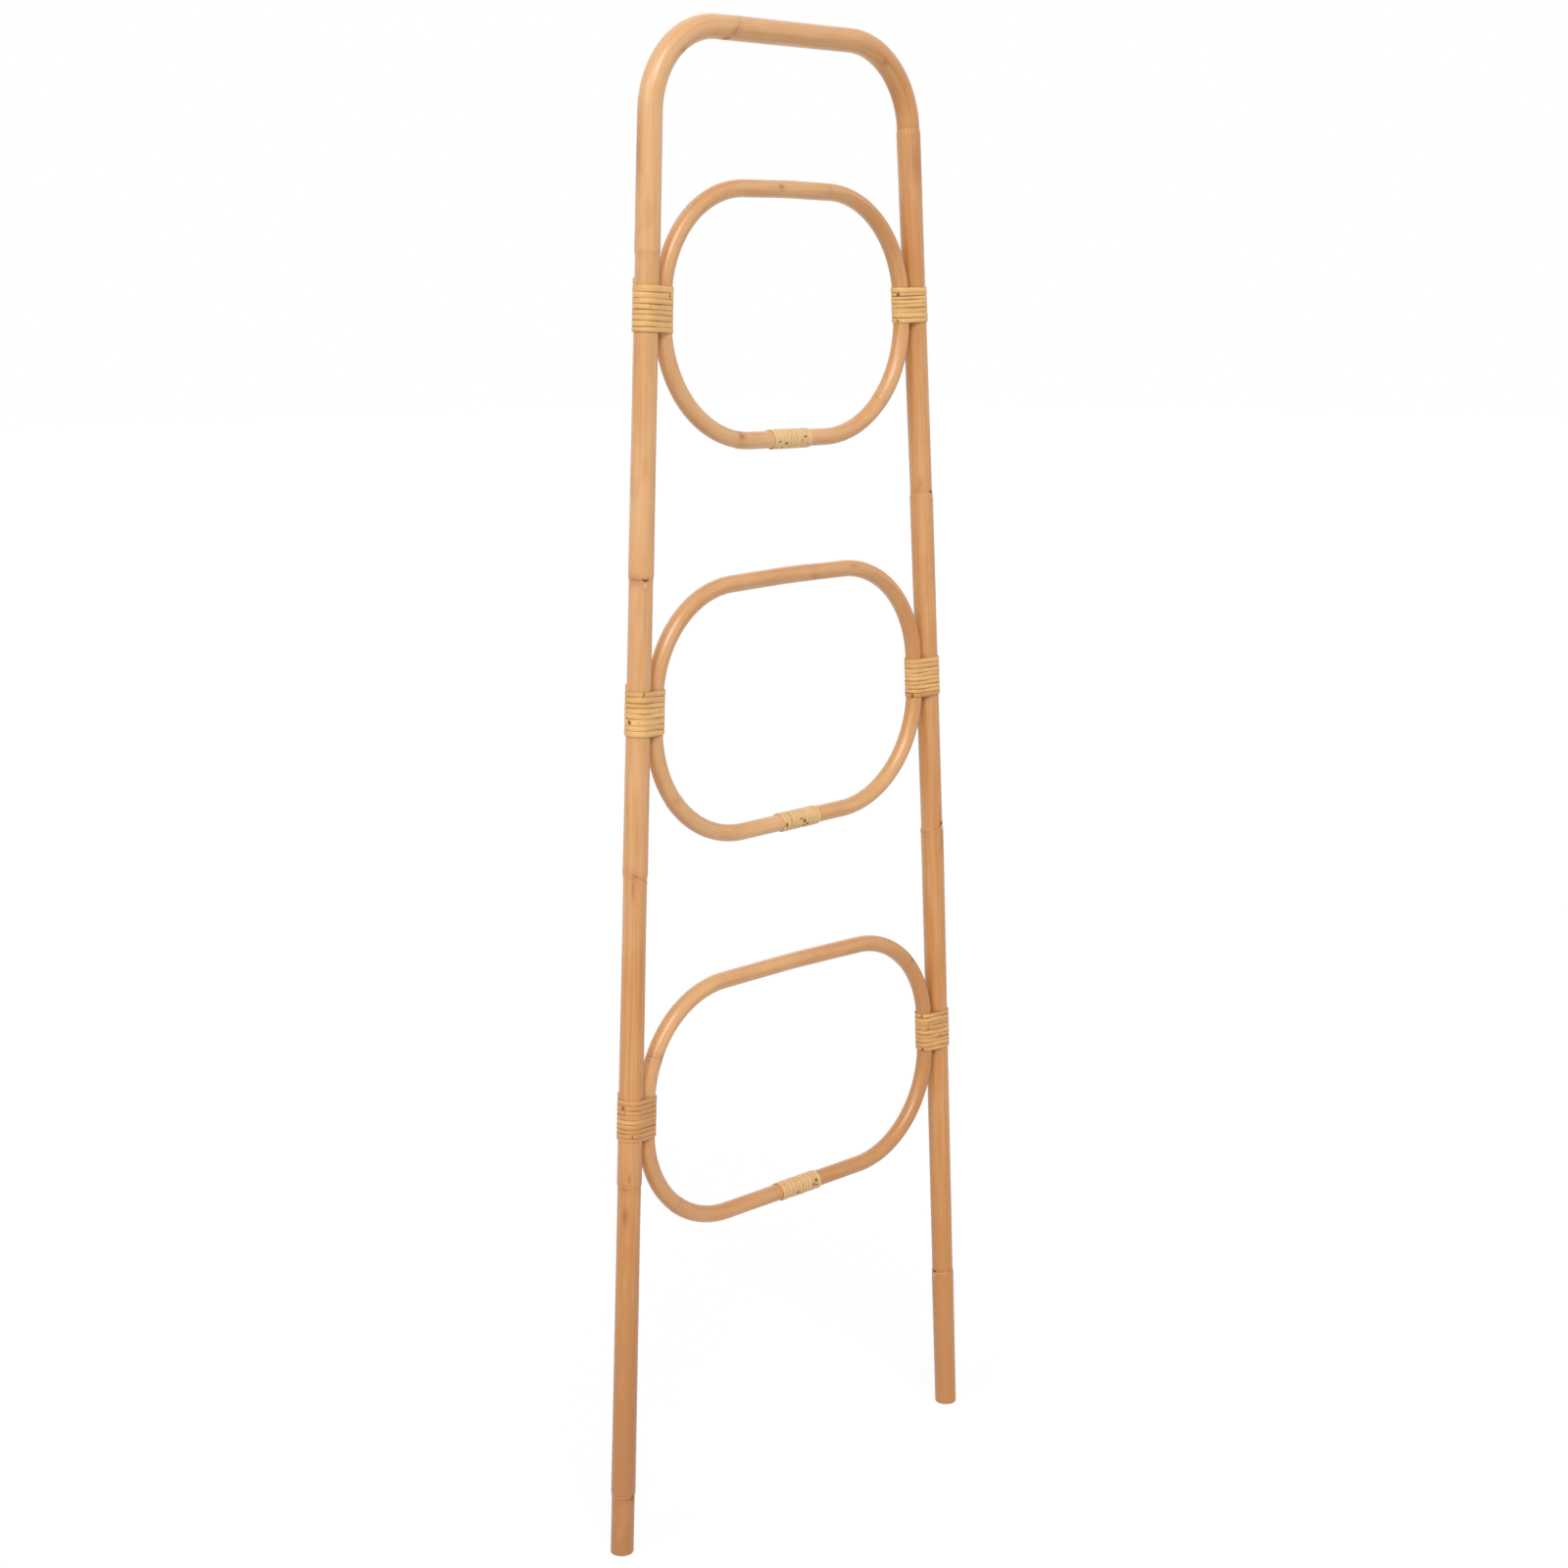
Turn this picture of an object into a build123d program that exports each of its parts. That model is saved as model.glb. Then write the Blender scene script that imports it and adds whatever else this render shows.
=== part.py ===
"""A leaning ladder of bent cane, for towels, blankets and magazines.

One long pole of cane is bent twice into a frame with two rails. Three hoops of thinner cane lie between the
rails. Each hoop is one length of cane whose two ends meet in a slanted glued joint in its lower run. A screw
holds each side of a hoop to its rail, and a strand of split cane is wound round the pair and over the joint,
with a tack through each of its ends.

Millimetres. The ladder stands in the XZ plane with +X to the right, +Y to the wall and +Z up, and the origin
lies on the floor, midway between the feet.
"""

from build123d import *

import os
from itertools import accumulate, pairwise
from math import acos, cos, degrees, pi, radians, sin, sqrt, tan

# Frame: spreads over the outside of the pole
foot_spread = 600.0
top_spread = 428.0
pole_diameter = 28.0
pole_bend = 100.0
foot_edge = 1.2

# The right rail stands out a little, at two soft bends between the hoops
lower_bow = 6.5
upper_bow = 5.0
bow_bend = 3000.0

# Hoops, from the floor up: the clear height below each, its outside height, and how far its right side is above
# its left
hoop_diameter = 20.0
clear_below = {"lower": 365.5, "middle": 156.5, "upper": 141.0}
hoop_height = {"lower": 303.0, "middle": 310.0, "upper": 298.0}
hoop_skew = {"lower": 0.0, "middle": 8.5, "upper": 0.0}
clear_below_bar = 148.0
hoop_top_bend = 125.0
hoop_bottom_bend = {"lower": 125.0, "middle": 133.0, "upper": 133.0}
hoop_crown = 3.5
hoop_crown_bend = 1500.0
seat_gap = 0.2

# Two bends in one run leave a straight stretch between them
fit = 1.01

# The slanted joint of a hoop, to the right of the ladder's middle
splice_offset = {"lower": 7.5, "middle": 15.0, "upper": 2.5}
scarf_length = 60.0
glue_line = 0.3
pin_diameter = 2.0
pin_length = 16.0
pin_spacing = 24.0

# Split cane: a strand with a flat back, low sides and a bevelled crown
strand_width = 6.0
strand_side = 0.7
strand_thickness = 1.8
strand_crown = 3.0
strand_spacing = 0.4
wrap_gap = 0.2
side_turns = 8
splice_turns = 12
strand_tail = 18.0

# How far each side binding lies above the middle of its hoop's side
binding_rise = {
    ("lower", "left"): 6.5,
    ("lower", "right"): 0.0,
    ("middle", "left"): 15.0,
    ("middle", "right"): -3.0,
    ("upper", "left"): 8.0,
    ("upper", "right"): 11.0,
}

# Screws that hold the hoops to the rails, and tacks that hold the strands' ends
screw_diameter = 3.5
screw_head = 7.0
screw_head_angle = 90.0
screw_length = 36.0
screw_point = 4.0
screw_sink = 1.0
tack_diameter = 1.4
tack_head = 3.4
tack_head_thickness = 0.7
tack_length = 12.0
tack_point = 2.0
rail_tack_inset = 13.0
hoop_tack_inset = 5.0
hole_gap = 0.1

x_sign = {"left": -1.0, "right": 1.0}
sides = list(x_sign)
wall = Vector(0, 1, 0)

pole_radius = pole_diameter / 2
hoop_radius = hoop_diameter / 2
foot_half = foot_spread / 2 - pole_radius
top_half = top_spread / 2 - pole_radius
touch = pole_radius + hoop_radius + seat_gap
pitch = strand_width + strand_spacing

hoop_names = list(clear_below)
hoop_tops = accumulate(clear_below[name] + hoop_height[name] for name in hoop_names)
hoop_middle = {name: top - hoop_height[name] / 2 for name, top in zip(hoop_names, hoop_tops)}
bar_height = sum(clear_below.values()) + sum(hoop_height.values()) + clear_below_bar + pole_radius


# Rails: their lines, and places on them


def between(low, high, height):
    """The point at a height on the line through two points."""
    return low + (high - low) * ((height - low.Z) / (high.Z - low.Z))


def eased(corners, bends, closed):
    """The bends, made smaller where two of them would not fit in the run between their corners."""
    ends = [corners[-1], *corners, corners[0]] if closed else corners
    reaches = [
        bend * tan(radians((here - before).get_angle(after - here)) / 2)
        for before, here, after, bend in zip(ends, ends[1:], ends[2:], bends)
    ]
    runs = [(after - here).length for here, after in pairwise(ends)]
    padded = [reaches[-1] if closed else 0, *reaches, reaches[0] if closed else 0]
    room = [run / (fit * (one + other)) for run, one, other in zip(runs, padded, padded[1:])]
    return [bend * min(1, before, after) for bend, before, after in zip(bends, room, room[1:])]


def right_rail():
    """The right rail's corners from the floor up, bowed outwards between the hoops."""
    foot = Vector(foot_half, 0, 0)
    top = Vector(top_half, 0, bar_height)
    low = between(foot, top, (hoop_middle["lower"] + hoop_middle["middle"]) / 2)
    high = between(foot, top, (hoop_middle["middle"] + hoop_middle["upper"]) / 2)
    return [foot, low + Vector(lower_bow, 0, 0), high + Vector(upper_bow, 0, 0), top]


rails = {
    "left": [Vector(-foot_half, 0, 0), Vector(-top_half, 0, bar_height)],
    "right": right_rail(),
}


def rail_plane(side, height):
    """The plane across a rail: x points to the hoops, y to the wall, z up the left rail or down the right."""
    low, high = next(run for run in pairwise(rails[side]) if height <= run[1].Z)
    along = (high - low).normalized() * -x_sign[side]
    return Plane(origin=between(low, high, height), x_dir=wall.cross(along), z_dir=along)


def shifted(plane, across=0.0, along=0.0):
    """The same plane, moved along its x and z."""
    return Plane(plane.from_local_coords((across, 0, along)), x_dir=plane.x_dir, z_dir=plane.z_dir)


def facing(plane):
    """The plane at the same place whose z is the other's x."""
    return Plane(plane.origin, x_dir=plane.y_dir, z_dir=plane.x_dir)


# Hoops: their outlines, and the places of their joints


def seat_plane(name, side):
    """The plane across a rail at the middle of a hoop's side."""
    return rail_plane(side, hoop_middle[name] + x_sign[side] * hoop_skew[name] / 2)


def hoop_corners(name, side):
    """The lower and the upper corner of a hoop's side, which is parallel to its rail and touches it."""
    seat = shifted(seat_plane(name, side), across=touch)
    reach = (hoop_height[name] - hoop_diameter) / 2
    ends = [shifted(seat, along=way * reach).origin for way in (-1, 1)]
    return sorted(ends, key=lambda end: end.Z)


def splice_plane(name):
    """The plane across a hoop's lower run at its joint: x points to the wall, y up and z to the right."""
    left = hoop_corners(name, "left")[0]
    right = hoop_corners(name, "right")[0]
    along = (right - left).normalized()
    origin = left + along * ((splice_offset[name] - left.X) / along.X)
    return Plane(origin=origin, x_dir=wall, z_dir=along)


def hoop_path(name):
    """The closed centre line of a hoop."""
    low_left, high_left = hoop_corners(name, "left")
    low_right, high_right = hoop_corners(name, "right")
    crown = (high_left + high_right) / 2 + Vector(0, 0, hoop_crown)
    corners = [low_left, low_right, high_right, crown, high_left]
    bottom_bend = hoop_bottom_bend[name]
    bends = [bottom_bend, bottom_bend, hoop_top_bend, hoop_crown_bend, hoop_top_bend]
    with BuildLine() as line:
        FilletPolyline(*corners, radius=eased(corners, bends, closed=True), close=True)
    return line.wire()


# Fasteners: each is turned about the z of a plane whose origin lies under its head


def screw_plane(name, side):
    """Where a screw's head lies, sunk below the inside of the hoop."""
    return facing(shifted(seat_plane(name, side), across=touch + hoop_radius - screw_sink))


def pin_planes(name):
    """Where the two pins cross a hoop's joint, upright."""
    splice = splice_plane(name)
    places = [shifted(splice, along=way * pin_spacing / 2) for way in (-1, 1)]
    return [Plane(place.origin, x_dir=place.z_dir, z_dir=place.y_dir) for place in places]


def turned(outline):
    """A solid turned about the z axis, from an outline given as radius and height."""
    with BuildPart() as solid:
        with BuildSketch(Plane.XZ):
            with BuildLine():
                Polyline(*outline, close=True)
            make_face()
        revolve(axis=Axis.Z)
    return solid.part


def placed(solid, planes):
    """A copy of the solid on each plane, as one group."""
    with BuildPart() as group:
        with Locations(*planes):
            add(solid)
    return group.part


def bore(plane, diameter, depth):
    """A hole round the plane's z, from a depth below its origin to as far above it."""
    with Locations(plane):
        Cylinder(diameter / 2 + hole_gap, 2 * depth, mode=Mode.SUBTRACT)


# Strands: each path climbs evenly as it goes round, so that its turns lie side by side


def helix_arc(center, radius, start, swept, height, slope):
    """A stretch of helix about an upright axis, from an angle and a height."""
    bend = Helix(2 * pi * radius * slope, radius * swept * slope, radius)
    return Pos(center, 0, height) * (Rot(0, 0, degrees(start)) * bend).edge()


hoop_lines = {name: hoop_path(name) for name in hoop_names}


def side_strand(name, side):
    """The plane of a side binding, its path and the planes of its two tacks.

    A turn goes round the rail, across the front, round the hoop and across the back.
    """
    plane = rail_plane(side, seat_plane(name, side).origin.Z + binding_rise[name, side])
    around_rail = pole_radius + wrap_gap
    around_hoop = hoop_radius + wrap_gap
    spread = hoop_spread(name, plane)
    corner = acos((around_rail - around_hoop) / spread)
    run = sqrt(spread**2 - (around_rail - around_hoop) ** 2)
    over_rail = around_rail * (2 * pi - 2 * corner)
    over_hoop = around_hoop * 2 * corner
    slope = pitch / (over_rail + over_hoop + 2 * run)
    height = -pitch * side_turns / 2
    edges = []
    for _ in range(side_turns):
        rail_bend = helix_arc(0, around_rail, corner, 2 * pi - 2 * corner, height, slope)
        height += (over_rail + run) * slope
        hoop_bend = helix_arc(spread, around_hoop, -corner, 2 * corner, height, slope)
        height += (over_hoop + run) * slope
        back = Vector(around_rail * cos(corner), around_rail * sin(corner), height)
        edges += [rail_bend, Edge.make_line(rail_bend @ 1, hoop_bend @ 0)]
        edges += [hoop_bend, Edge.make_line(hoop_bend @ 1, back)]
    edges.append(helix_arc(0, around_rail, corner, strand_tail / around_rail, height, slope))
    tack_angle = corner + rail_tack_inset / around_rail
    climb = rail_tack_inset * slope
    levels = (climb - pitch * side_turns / 2, climb + pitch * side_turns / 2)
    tacks = [tack_plane(plane, around_rail, tack_angle, level) for level in levels]
    return plane, placed_path(plane, edges), tacks


def hoop_spread(name, plane):
    """The furthest that a hoop's centre line stands from its rail's inside a binding."""
    half = pitch * (side_turns + 1) / 2
    ends = [hoop_lines[name].intersect(shifted(plane, along=way * half)) for way in (-1, 1)]
    return max(min(plane.to_local_coords(Vector(place)).X for place in end) for end in ends)


def splice_strand(name):
    """The plane of a joint's binding, its path round the hoop alone and the planes of its two tacks."""
    plane = splice_plane(name)
    around = hoop_radius + wrap_gap
    slope = pitch / (2 * pi * around)
    low = -pitch * splice_turns / 2
    edges = [helix_arc(0, around, 0, 2 * pi * splice_turns, low, slope)]
    angle = hoop_tack_inset / around
    climb = hoop_tack_inset * slope
    tacks = [tack_plane(plane, around, way * angle, way * (low + climb)) for way in (1, -1)]
    return plane, placed_path(plane, edges), tacks


def placed_path(plane, edges):
    """The edges as one wire, set on the plane."""
    return Wire([plane.location * edge for edge in edges])


def tack_plane(plane, radius, angle, height):
    """The plane on a strand's crown whose z points out, at an angle round the plane's z and a height."""
    out = Vector(cos(angle), sin(angle), 0)
    crown = out * (radius + strand_thickness) + Vector(0, 0, height)
    direction = plane.from_local_coords(out) - plane.origin
    return Plane(plane.from_local_coords(crown), x_dir=plane.z_dir, z_dir=direction)


bindings = {(name, side): side_strand(name, side) for name in hoop_names for side in sides}
splices = {name: splice_strand(name) for name in hoop_names}


# The pieces


def foot_bevel():
    """The ring that a foot's edge loses, below a slope of half a right angle."""
    outline = [
        (pole_radius - 2 * foot_edge, -foot_edge),
        (pole_radius + foot_edge, 2 * foot_edge),
        (pole_radius + foot_edge, -2 * foot_edge),
        (pole_radius - 2 * foot_edge, -2 * foot_edge),
    ]
    return turned(outline)


def build_frame():
    """The pole: both rails and the top bar, cut level at the floor, with a hole for each screw and tack."""
    reach = between(*rails["left"], -pole_diameter)
    right_reach = between(rails["right"][0], rails["right"][1], -pole_diameter)
    corners = [reach, rails["left"][1], *reversed(rails["right"][1:]), right_reach]
    bends = [pole_bend, pole_bend, bow_bend, bow_bend]
    with BuildLine() as line:
        FilletPolyline(*corners, radius=eased(corners, bends, closed=False))
    path = line.wire()
    with BuildPart() as pole:
        with BuildSketch(path ^ 0):
            Circle(pole_radius)
        sweep(path=path)
        split(bisect_by=Plane.XY, keep=Keep.TOP)
        with Locations(*[rails[side][0] for side in sides]):
            add(foot_bevel(), mode=Mode.SUBTRACT)
        for name in hoop_names:
            for side in sides:
                bore(screw_plane(name, side), screw_diameter, screw_length + hole_gap)
        for _, _, tacks in bindings.values():
            for tack in tacks:
                bore(tack, tack_diameter, tack_length + hole_gap)
    return pole.part


def build_hoop(name):
    """A hoop with its slanted joint, pin holes, countersunk screw holes and tack holes."""
    path = hoop_lines[name]
    splice = splice_plane(name)
    slant = Rot(degrees(acos(hoop_diameter / sqrt(hoop_diameter**2 + scarf_length**2))), 0, 0)
    with BuildPart() as hoop:
        with BuildSketch(path ^ 0):
            Circle(hoop_radius)
        sweep(path=path)
        with Locations(splice.location * slant):
            Box(2 * hoop_diameter, 2 * scarf_length, glue_line, mode=Mode.SUBTRACT)
        for pin in pin_planes(name):
            bore(pin, pin_diameter, hoop_diameter)
        for side in sides:
            head = screw_plane(name, side)
            bore(head, screw_diameter, screw_length)
            with Locations(head):
                Cylinder(
                    screw_head / 2 + hole_gap,
                    hoop_radius,
                    align=(Align.CENTER, Align.CENTER, Align.MIN),
                    mode=Mode.SUBTRACT,
                )
                CounterSinkHole(
                    screw_diameter / 2 + hole_gap,
                    screw_head / 2 + hole_gap,
                    depth=hoop_diameter,
                    counter_sink_angle=screw_head_angle,
                )
        for tack in splices[name][2]:
            bore(tack, tack_diameter, tack_length + hole_gap)
    return hoop.part


def build_strand(plane, path, tacks):
    """A strand swept along its path, bored for its tacks."""
    half = strand_width / 2
    crown = strand_crown / 2
    section = [
        (-half, 0),
        (-half, strand_side),
        (-crown, strand_thickness),
        (crown, strand_thickness),
        (half, strand_side),
        (half, 0),
    ]
    with BuildPart() as strand:
        with BuildSketch(Plane(path @ 0, x_dir=plane.z_dir, z_dir=path % 0)):
            with BuildLine():
                Polyline(*section, close=True)
            make_face()
        sweep(path=path, is_frenet=True)
        for tack in tacks:
            bore(tack, tack_diameter, 2 * strand_thickness)
    return strand.part


def build_screws():
    """The six countersunk screws."""
    head = screw_head / 2
    shank = screw_diameter / 2
    head_depth = (head - shank) / tan(radians(screw_head_angle / 2))
    outline = [
        (0, 0),
        (head, 0),
        (shank, -head_depth),
        (shank, screw_point - screw_length),
        (0, -screw_length),
    ]
    return placed(turned(outline), [screw_plane(name, side) for name in hoop_names for side in sides])


def build_pins():
    """The two headless pins in each hoop's joint."""
    with BuildPart() as pin:
        Cylinder(pin_diameter / 2, pin_length)
    return placed(pin.part, [place for name in hoop_names for place in pin_planes(name)])


def build_tacks():
    """A tack at each end of every strand."""
    head = tack_head / 2
    shank = tack_diameter / 2
    outline = [
        (0, hole_gap + tack_head_thickness),
        (head, hole_gap + tack_head_thickness),
        (head, hole_gap),
        (shank, hole_gap),
        (shank, tack_point - tack_length),
        (0, -tack_length),
    ]
    strands = [*bindings.values(), *splices.values()]
    return placed(turned(outline), [tack for _, _, tacks in strands for tack in tacks])


pieces = {
    "frame_pole": build_frame(),
    "hoop_screws": build_screws(),
    "splice_pins": build_pins(),
    "binding_tacks": build_tacks(),
}
for hoop in hoop_names:
    pieces[f"{hoop}_hoop"] = build_hoop(hoop)
    pieces[f"{hoop}_splice_binding"] = build_strand(*splices[hoop])
    for rail_side in sides:
        pieces[f"{hoop}_{rail_side}_binding"] = build_strand(*bindings[hoop, rail_side])

os.makedirs("parts", exist_ok=True)
for label, piece in pieces.items():
    piece.label = label
    export_step(piece, f"parts/{label}.step")
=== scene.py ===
"""A leaning ladder of bent cane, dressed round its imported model.

The pole and the hoops are drawn along their own lines with the swelling, growth rings and bud scars of natural cane.
Strands of split cane are wound round them, turn by turn, with a tack through each end. All sizes are in metres.
"""

import math
from collections import namedtuple

import bmesh
import bpy
from bpy.props import FloatProperty, FloatVectorProperty, IntProperty, PointerProperty
from mathutils import Matrix, Vector, noise


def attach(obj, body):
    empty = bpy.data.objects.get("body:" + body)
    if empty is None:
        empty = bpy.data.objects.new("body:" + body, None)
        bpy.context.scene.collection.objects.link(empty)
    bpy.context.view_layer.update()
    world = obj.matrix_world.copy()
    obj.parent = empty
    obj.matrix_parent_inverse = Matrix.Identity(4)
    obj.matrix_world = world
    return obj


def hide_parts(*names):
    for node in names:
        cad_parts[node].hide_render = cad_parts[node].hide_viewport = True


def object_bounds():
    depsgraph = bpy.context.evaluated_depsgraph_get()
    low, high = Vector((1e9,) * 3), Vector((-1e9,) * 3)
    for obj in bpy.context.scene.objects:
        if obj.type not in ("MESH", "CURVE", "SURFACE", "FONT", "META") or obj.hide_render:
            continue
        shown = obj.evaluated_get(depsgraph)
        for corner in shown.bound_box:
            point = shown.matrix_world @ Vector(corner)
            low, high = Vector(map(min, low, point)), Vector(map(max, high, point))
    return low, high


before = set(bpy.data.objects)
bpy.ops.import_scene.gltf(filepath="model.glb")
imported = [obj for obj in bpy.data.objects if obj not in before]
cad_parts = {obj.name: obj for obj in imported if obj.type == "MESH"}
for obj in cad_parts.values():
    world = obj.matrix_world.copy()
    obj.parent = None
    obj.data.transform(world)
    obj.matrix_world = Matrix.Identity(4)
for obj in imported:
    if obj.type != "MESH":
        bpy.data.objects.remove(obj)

bl_info = {
    "name": "Bent cane ladder",
    "version": (1, 0, 0),
    "blender": (4, 5, 0),
    "location": "3D View > Sidebar > Cane ladder",
    "description": "Dresses a leaning ladder of bent cane with grain, growth rings and wound strands",
    "category": "Object",
}

CAD_LOW, CAD_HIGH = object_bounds()
SIDES = {"left": -1.0, "right": 1.0}
WALL = Vector((0, 1, 0))

# The hoops: height of the middle, outside height, how far the right side is above the left, and the lower bends
Hoop = namedtuple("Hoop", "middle height skew bottom_bend")
HOOPS = {
    "upper": Hoop(1.425, 0.298, 0.0, 0.133),
    "middle": Hoop(0.980, 0.310, 0.0085, 0.133),
    "lower": Hoop(0.517, 0.303, 0.0, 0.125),
}

# A growth ring: its place, how far it slants across the cane, its darkness, and the bearing of its bud scar
Ring = namedtuple("Ring", "x z slant dark bud", defaults=(None,))
POLE_RINGS = [
    Ring(-0.294, 0.072, 0.002, 0.9),
    Ring(-0.275, 0.446, 0.001, 0.9),
    Ring(-0.252, 0.803, -0.017, 1.0),
    Ring(-0.236, 1.138, -0.003, 0.9, -20.0),
    Ring(-0.216, 1.490, 0.003, 0.2),
    Ring(-0.085, 1.736, -0.018, 0.8),
    Ring(0.209, 1.644, -0.004, 0.45),
    Ring(0.232, 1.210, -0.003, 0.5, -15.0),
    Ring(0.245, 0.790, 0.015, 1.0, -18.0),
    Ring(0.275, 0.187, 0.002, 0.8, 100.0),
]
HOOP_RINGS = {
    "upper": [Ring(0.062, 1.5653, 0.003, 0.5), Ring(0.152, 1.323, 0.0, 0.4), Ring(-0.083, 1.282, 0.0, 0.6)],
    "middle": [Ring(0.034, 1.130, 0.004, 0.6), Ring(-0.170, 0.900, 0.0, 0.4)],
    "lower": [Ring(-0.228, 0.591, 0.003, 0.9), Ring(0.202, 0.619, 0.0, 0.5), Ring(-0.199, 0.400, 0.0, 0.6)],
}

# A stain: its place, its bearing round the cane, its length, its width and its strength
Stain = namedtuple("Stain", "x z bearing length width dark")
POLE_STAINS = [
    Stain(-0.274, 0.415, -60.0, 0.010, 0.004, 0.6),
    Stain(-0.276, 0.459, -42.0, 0.006, 0.0015, 0.8),
    Stain(-0.252, 0.795, -50.0, 0.012, 0.0025, 0.6),
    Stain(-0.294, 0.072, 12.0, 0.004, 0.003, 0.9),
    Stain(-0.250, 0.840, -35.0, 0.030, 0.0012, 0.4),
    Stain(-0.095, 1.736, 75.0, 0.005, 0.004, 0.9),
    Stain(-0.175, 1.720, 35.0, 0.004, 0.003, 0.6),
    Stain(-0.214, 1.600, -103.0, 0.050, 0.007, 0.40),
    Stain(0.157, 1.722, 40.0, 0.004, 0.003, 0.6),
    Stain(0.232, 1.222, 50.0, 0.005, 0.003, 0.5),
    Stain(0.246, 0.770, -8.0, 0.018, 0.003, 0.6),
    Stain(0.244, 0.806, 0.0, 0.016, 0.0012, 0.7),
    Stain(0.209, 1.610, 10.0, 0.030, 0.008, 0.45),
]
HOOP_STAINS = {
    "upper": [Stain(-0.016, 1.5705, 10.0, 0.004, 0.003, 0.7), Stain(-0.083, 1.282, -20.0, 0.005, 0.003, 0.6)],
    "middle": [Stain(0.100, 1.128, 20.0, 0.008, 0.002, 0.4)],
    "lower": [Stain(-0.228, 0.591, -40.0, 0.008, 0.004, 0.9), Stain(0.202, 0.619, 30.0, 0.005, 0.003, 0.7)],
}

# How dark the cane is at places along it, from 0, its lighter skin, to 1, its darker. In the pole's table the
# darkening towards the feet is painted shade, and the tone below 0 on the upper left bend is a painted highlight
POLE_TONES = [
    (-0.286, 0.000, 1.60), (-0.280, 0.200, 1.35), (-0.270, 0.450, 0.95), (-0.250, 0.800, 0.42), (-0.230, 1.150, 0.30),
    (-0.212, 1.500, 0.25), (-0.190, 1.690, -0.10), (-0.100, 1.736, 0.15), (-0.060, 1.736, 0.45), (0.100, 1.736, 0.40),
    (0.190, 1.690, 0.95), (0.212, 1.500, 0.72), (0.232, 1.200, 0.65), (0.250, 0.800, 0.70), (0.275, 0.300, 1.00),
    (0.286, 0.000, 1.30),
]
HOOP_TONES = {
    "upper": [(-0.17, 1.425, 0.45), (0.0, 1.570, 0.30), (0.17, 1.425, 0.85), (0.0, 1.286, 0.40)],
    "middle": [(-0.19, 0.980, 0.50), (0.0, 1.130, 0.45), (0.19, 0.980, 0.85), (0.0, 0.835, 0.50)],
    "lower": [(-0.21, 0.517, 0.75), (0.0, 0.665, 0.35), (0.21, 0.517, 1.25), (0.0, 0.375, 1.05)],
}

# A side binding: its middle above the hoop's, its turns' widths from the top down, the climb that shows in front,
# its tone, how frayed it is, and its scars: a turn, the place across the front, the length and the darkness, below 0
# for a cut end
Binding = namedtuple("Binding", "rise widths front tone fray scars brown", defaults=(None,))
BINDINGS = {
    ("upper", "left"): Binding(
        0.008, (7.4, 7.0, 6.0, 6.0, 5.3, 6.7, 6.7, 5.3), 0.0, 0.45, 0.35,
        ((1, 0.0235, 0.0024, -1.1), (1, 0.0260, 0.002, 0.9), (3, -0.006, 0.004, 0.75), (4, -0.005, 0.003, 0.7)),
    ),
    ("upper", "right"): Binding(
        0.012, (6.2, 4.0, 4.2, 4.6, 4.9, 5.9, 6.2, 5.8), 0.6, 0.3, 0.45,
        ((1, 0.0330, 0.0022, -1.2), (6, 0.0315, 0.002, 0.8), (6, 0.026, 0.003, 0.7), (7, 0.0338, 0.0015, 0.9)),
    ),
    ("middle", "left"): Binding(
        0.015, (6.4, 6.9, 5.6, 6.0, 6.0, 7.0, 6.2, 7.0), -0.1, 0.4, 0.35,
        ((0, -0.0045, 0.0026, -1.2), (5, -0.0138, 0.0016, 1.0), (5, -0.009, 0.003, 0.7), (3, 0.020, 0.006, 0.65)),
    ),
    ("middle", "right"): Binding(
        -0.0010, (5.8, 5.6, 5.7, 5.1, 5.1, 5.3, 5.2, 4.4, 5.6), 0.5, 0.5, 0.6,
        ((7, 0.020, 0.004, 0.7), (2, 0.004, 0.004, 0.6), (8, 0.0335, 0.002, 1.2), (8, 0.024, 0.005, 0.8)), 8,
    ),
    ("lower", "left"): Binding(
        0.0072, (5.8, 5.7, 5.7, 5.5, 5.3, 5.5, 5.3, 5.3, 4.3), -0.4, 1.1, 0.5,
        ((7, -0.0075, 0.0018, -1.1), (1, -0.0135, 0.0016, 1.0), (2, -0.013, 0.002, 0.8), (4, 0.022, 0.005, 0.65)),
    ),
    ("lower", "right"): Binding(
        0.0060, (5.4, 5.8, 5.6, 5.8, 5.4, 5.6, 5.2, 5.8, 5.0), 0.7, 0.9, 1.0,
        ((0, 0.0330, 0.002, 1.0), (3, 0.028, 0.006, 0.8), (5, 0.010, 0.006, 0.75), (8, 0.0330, 0.002, 1.1)),
    ),
}

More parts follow.
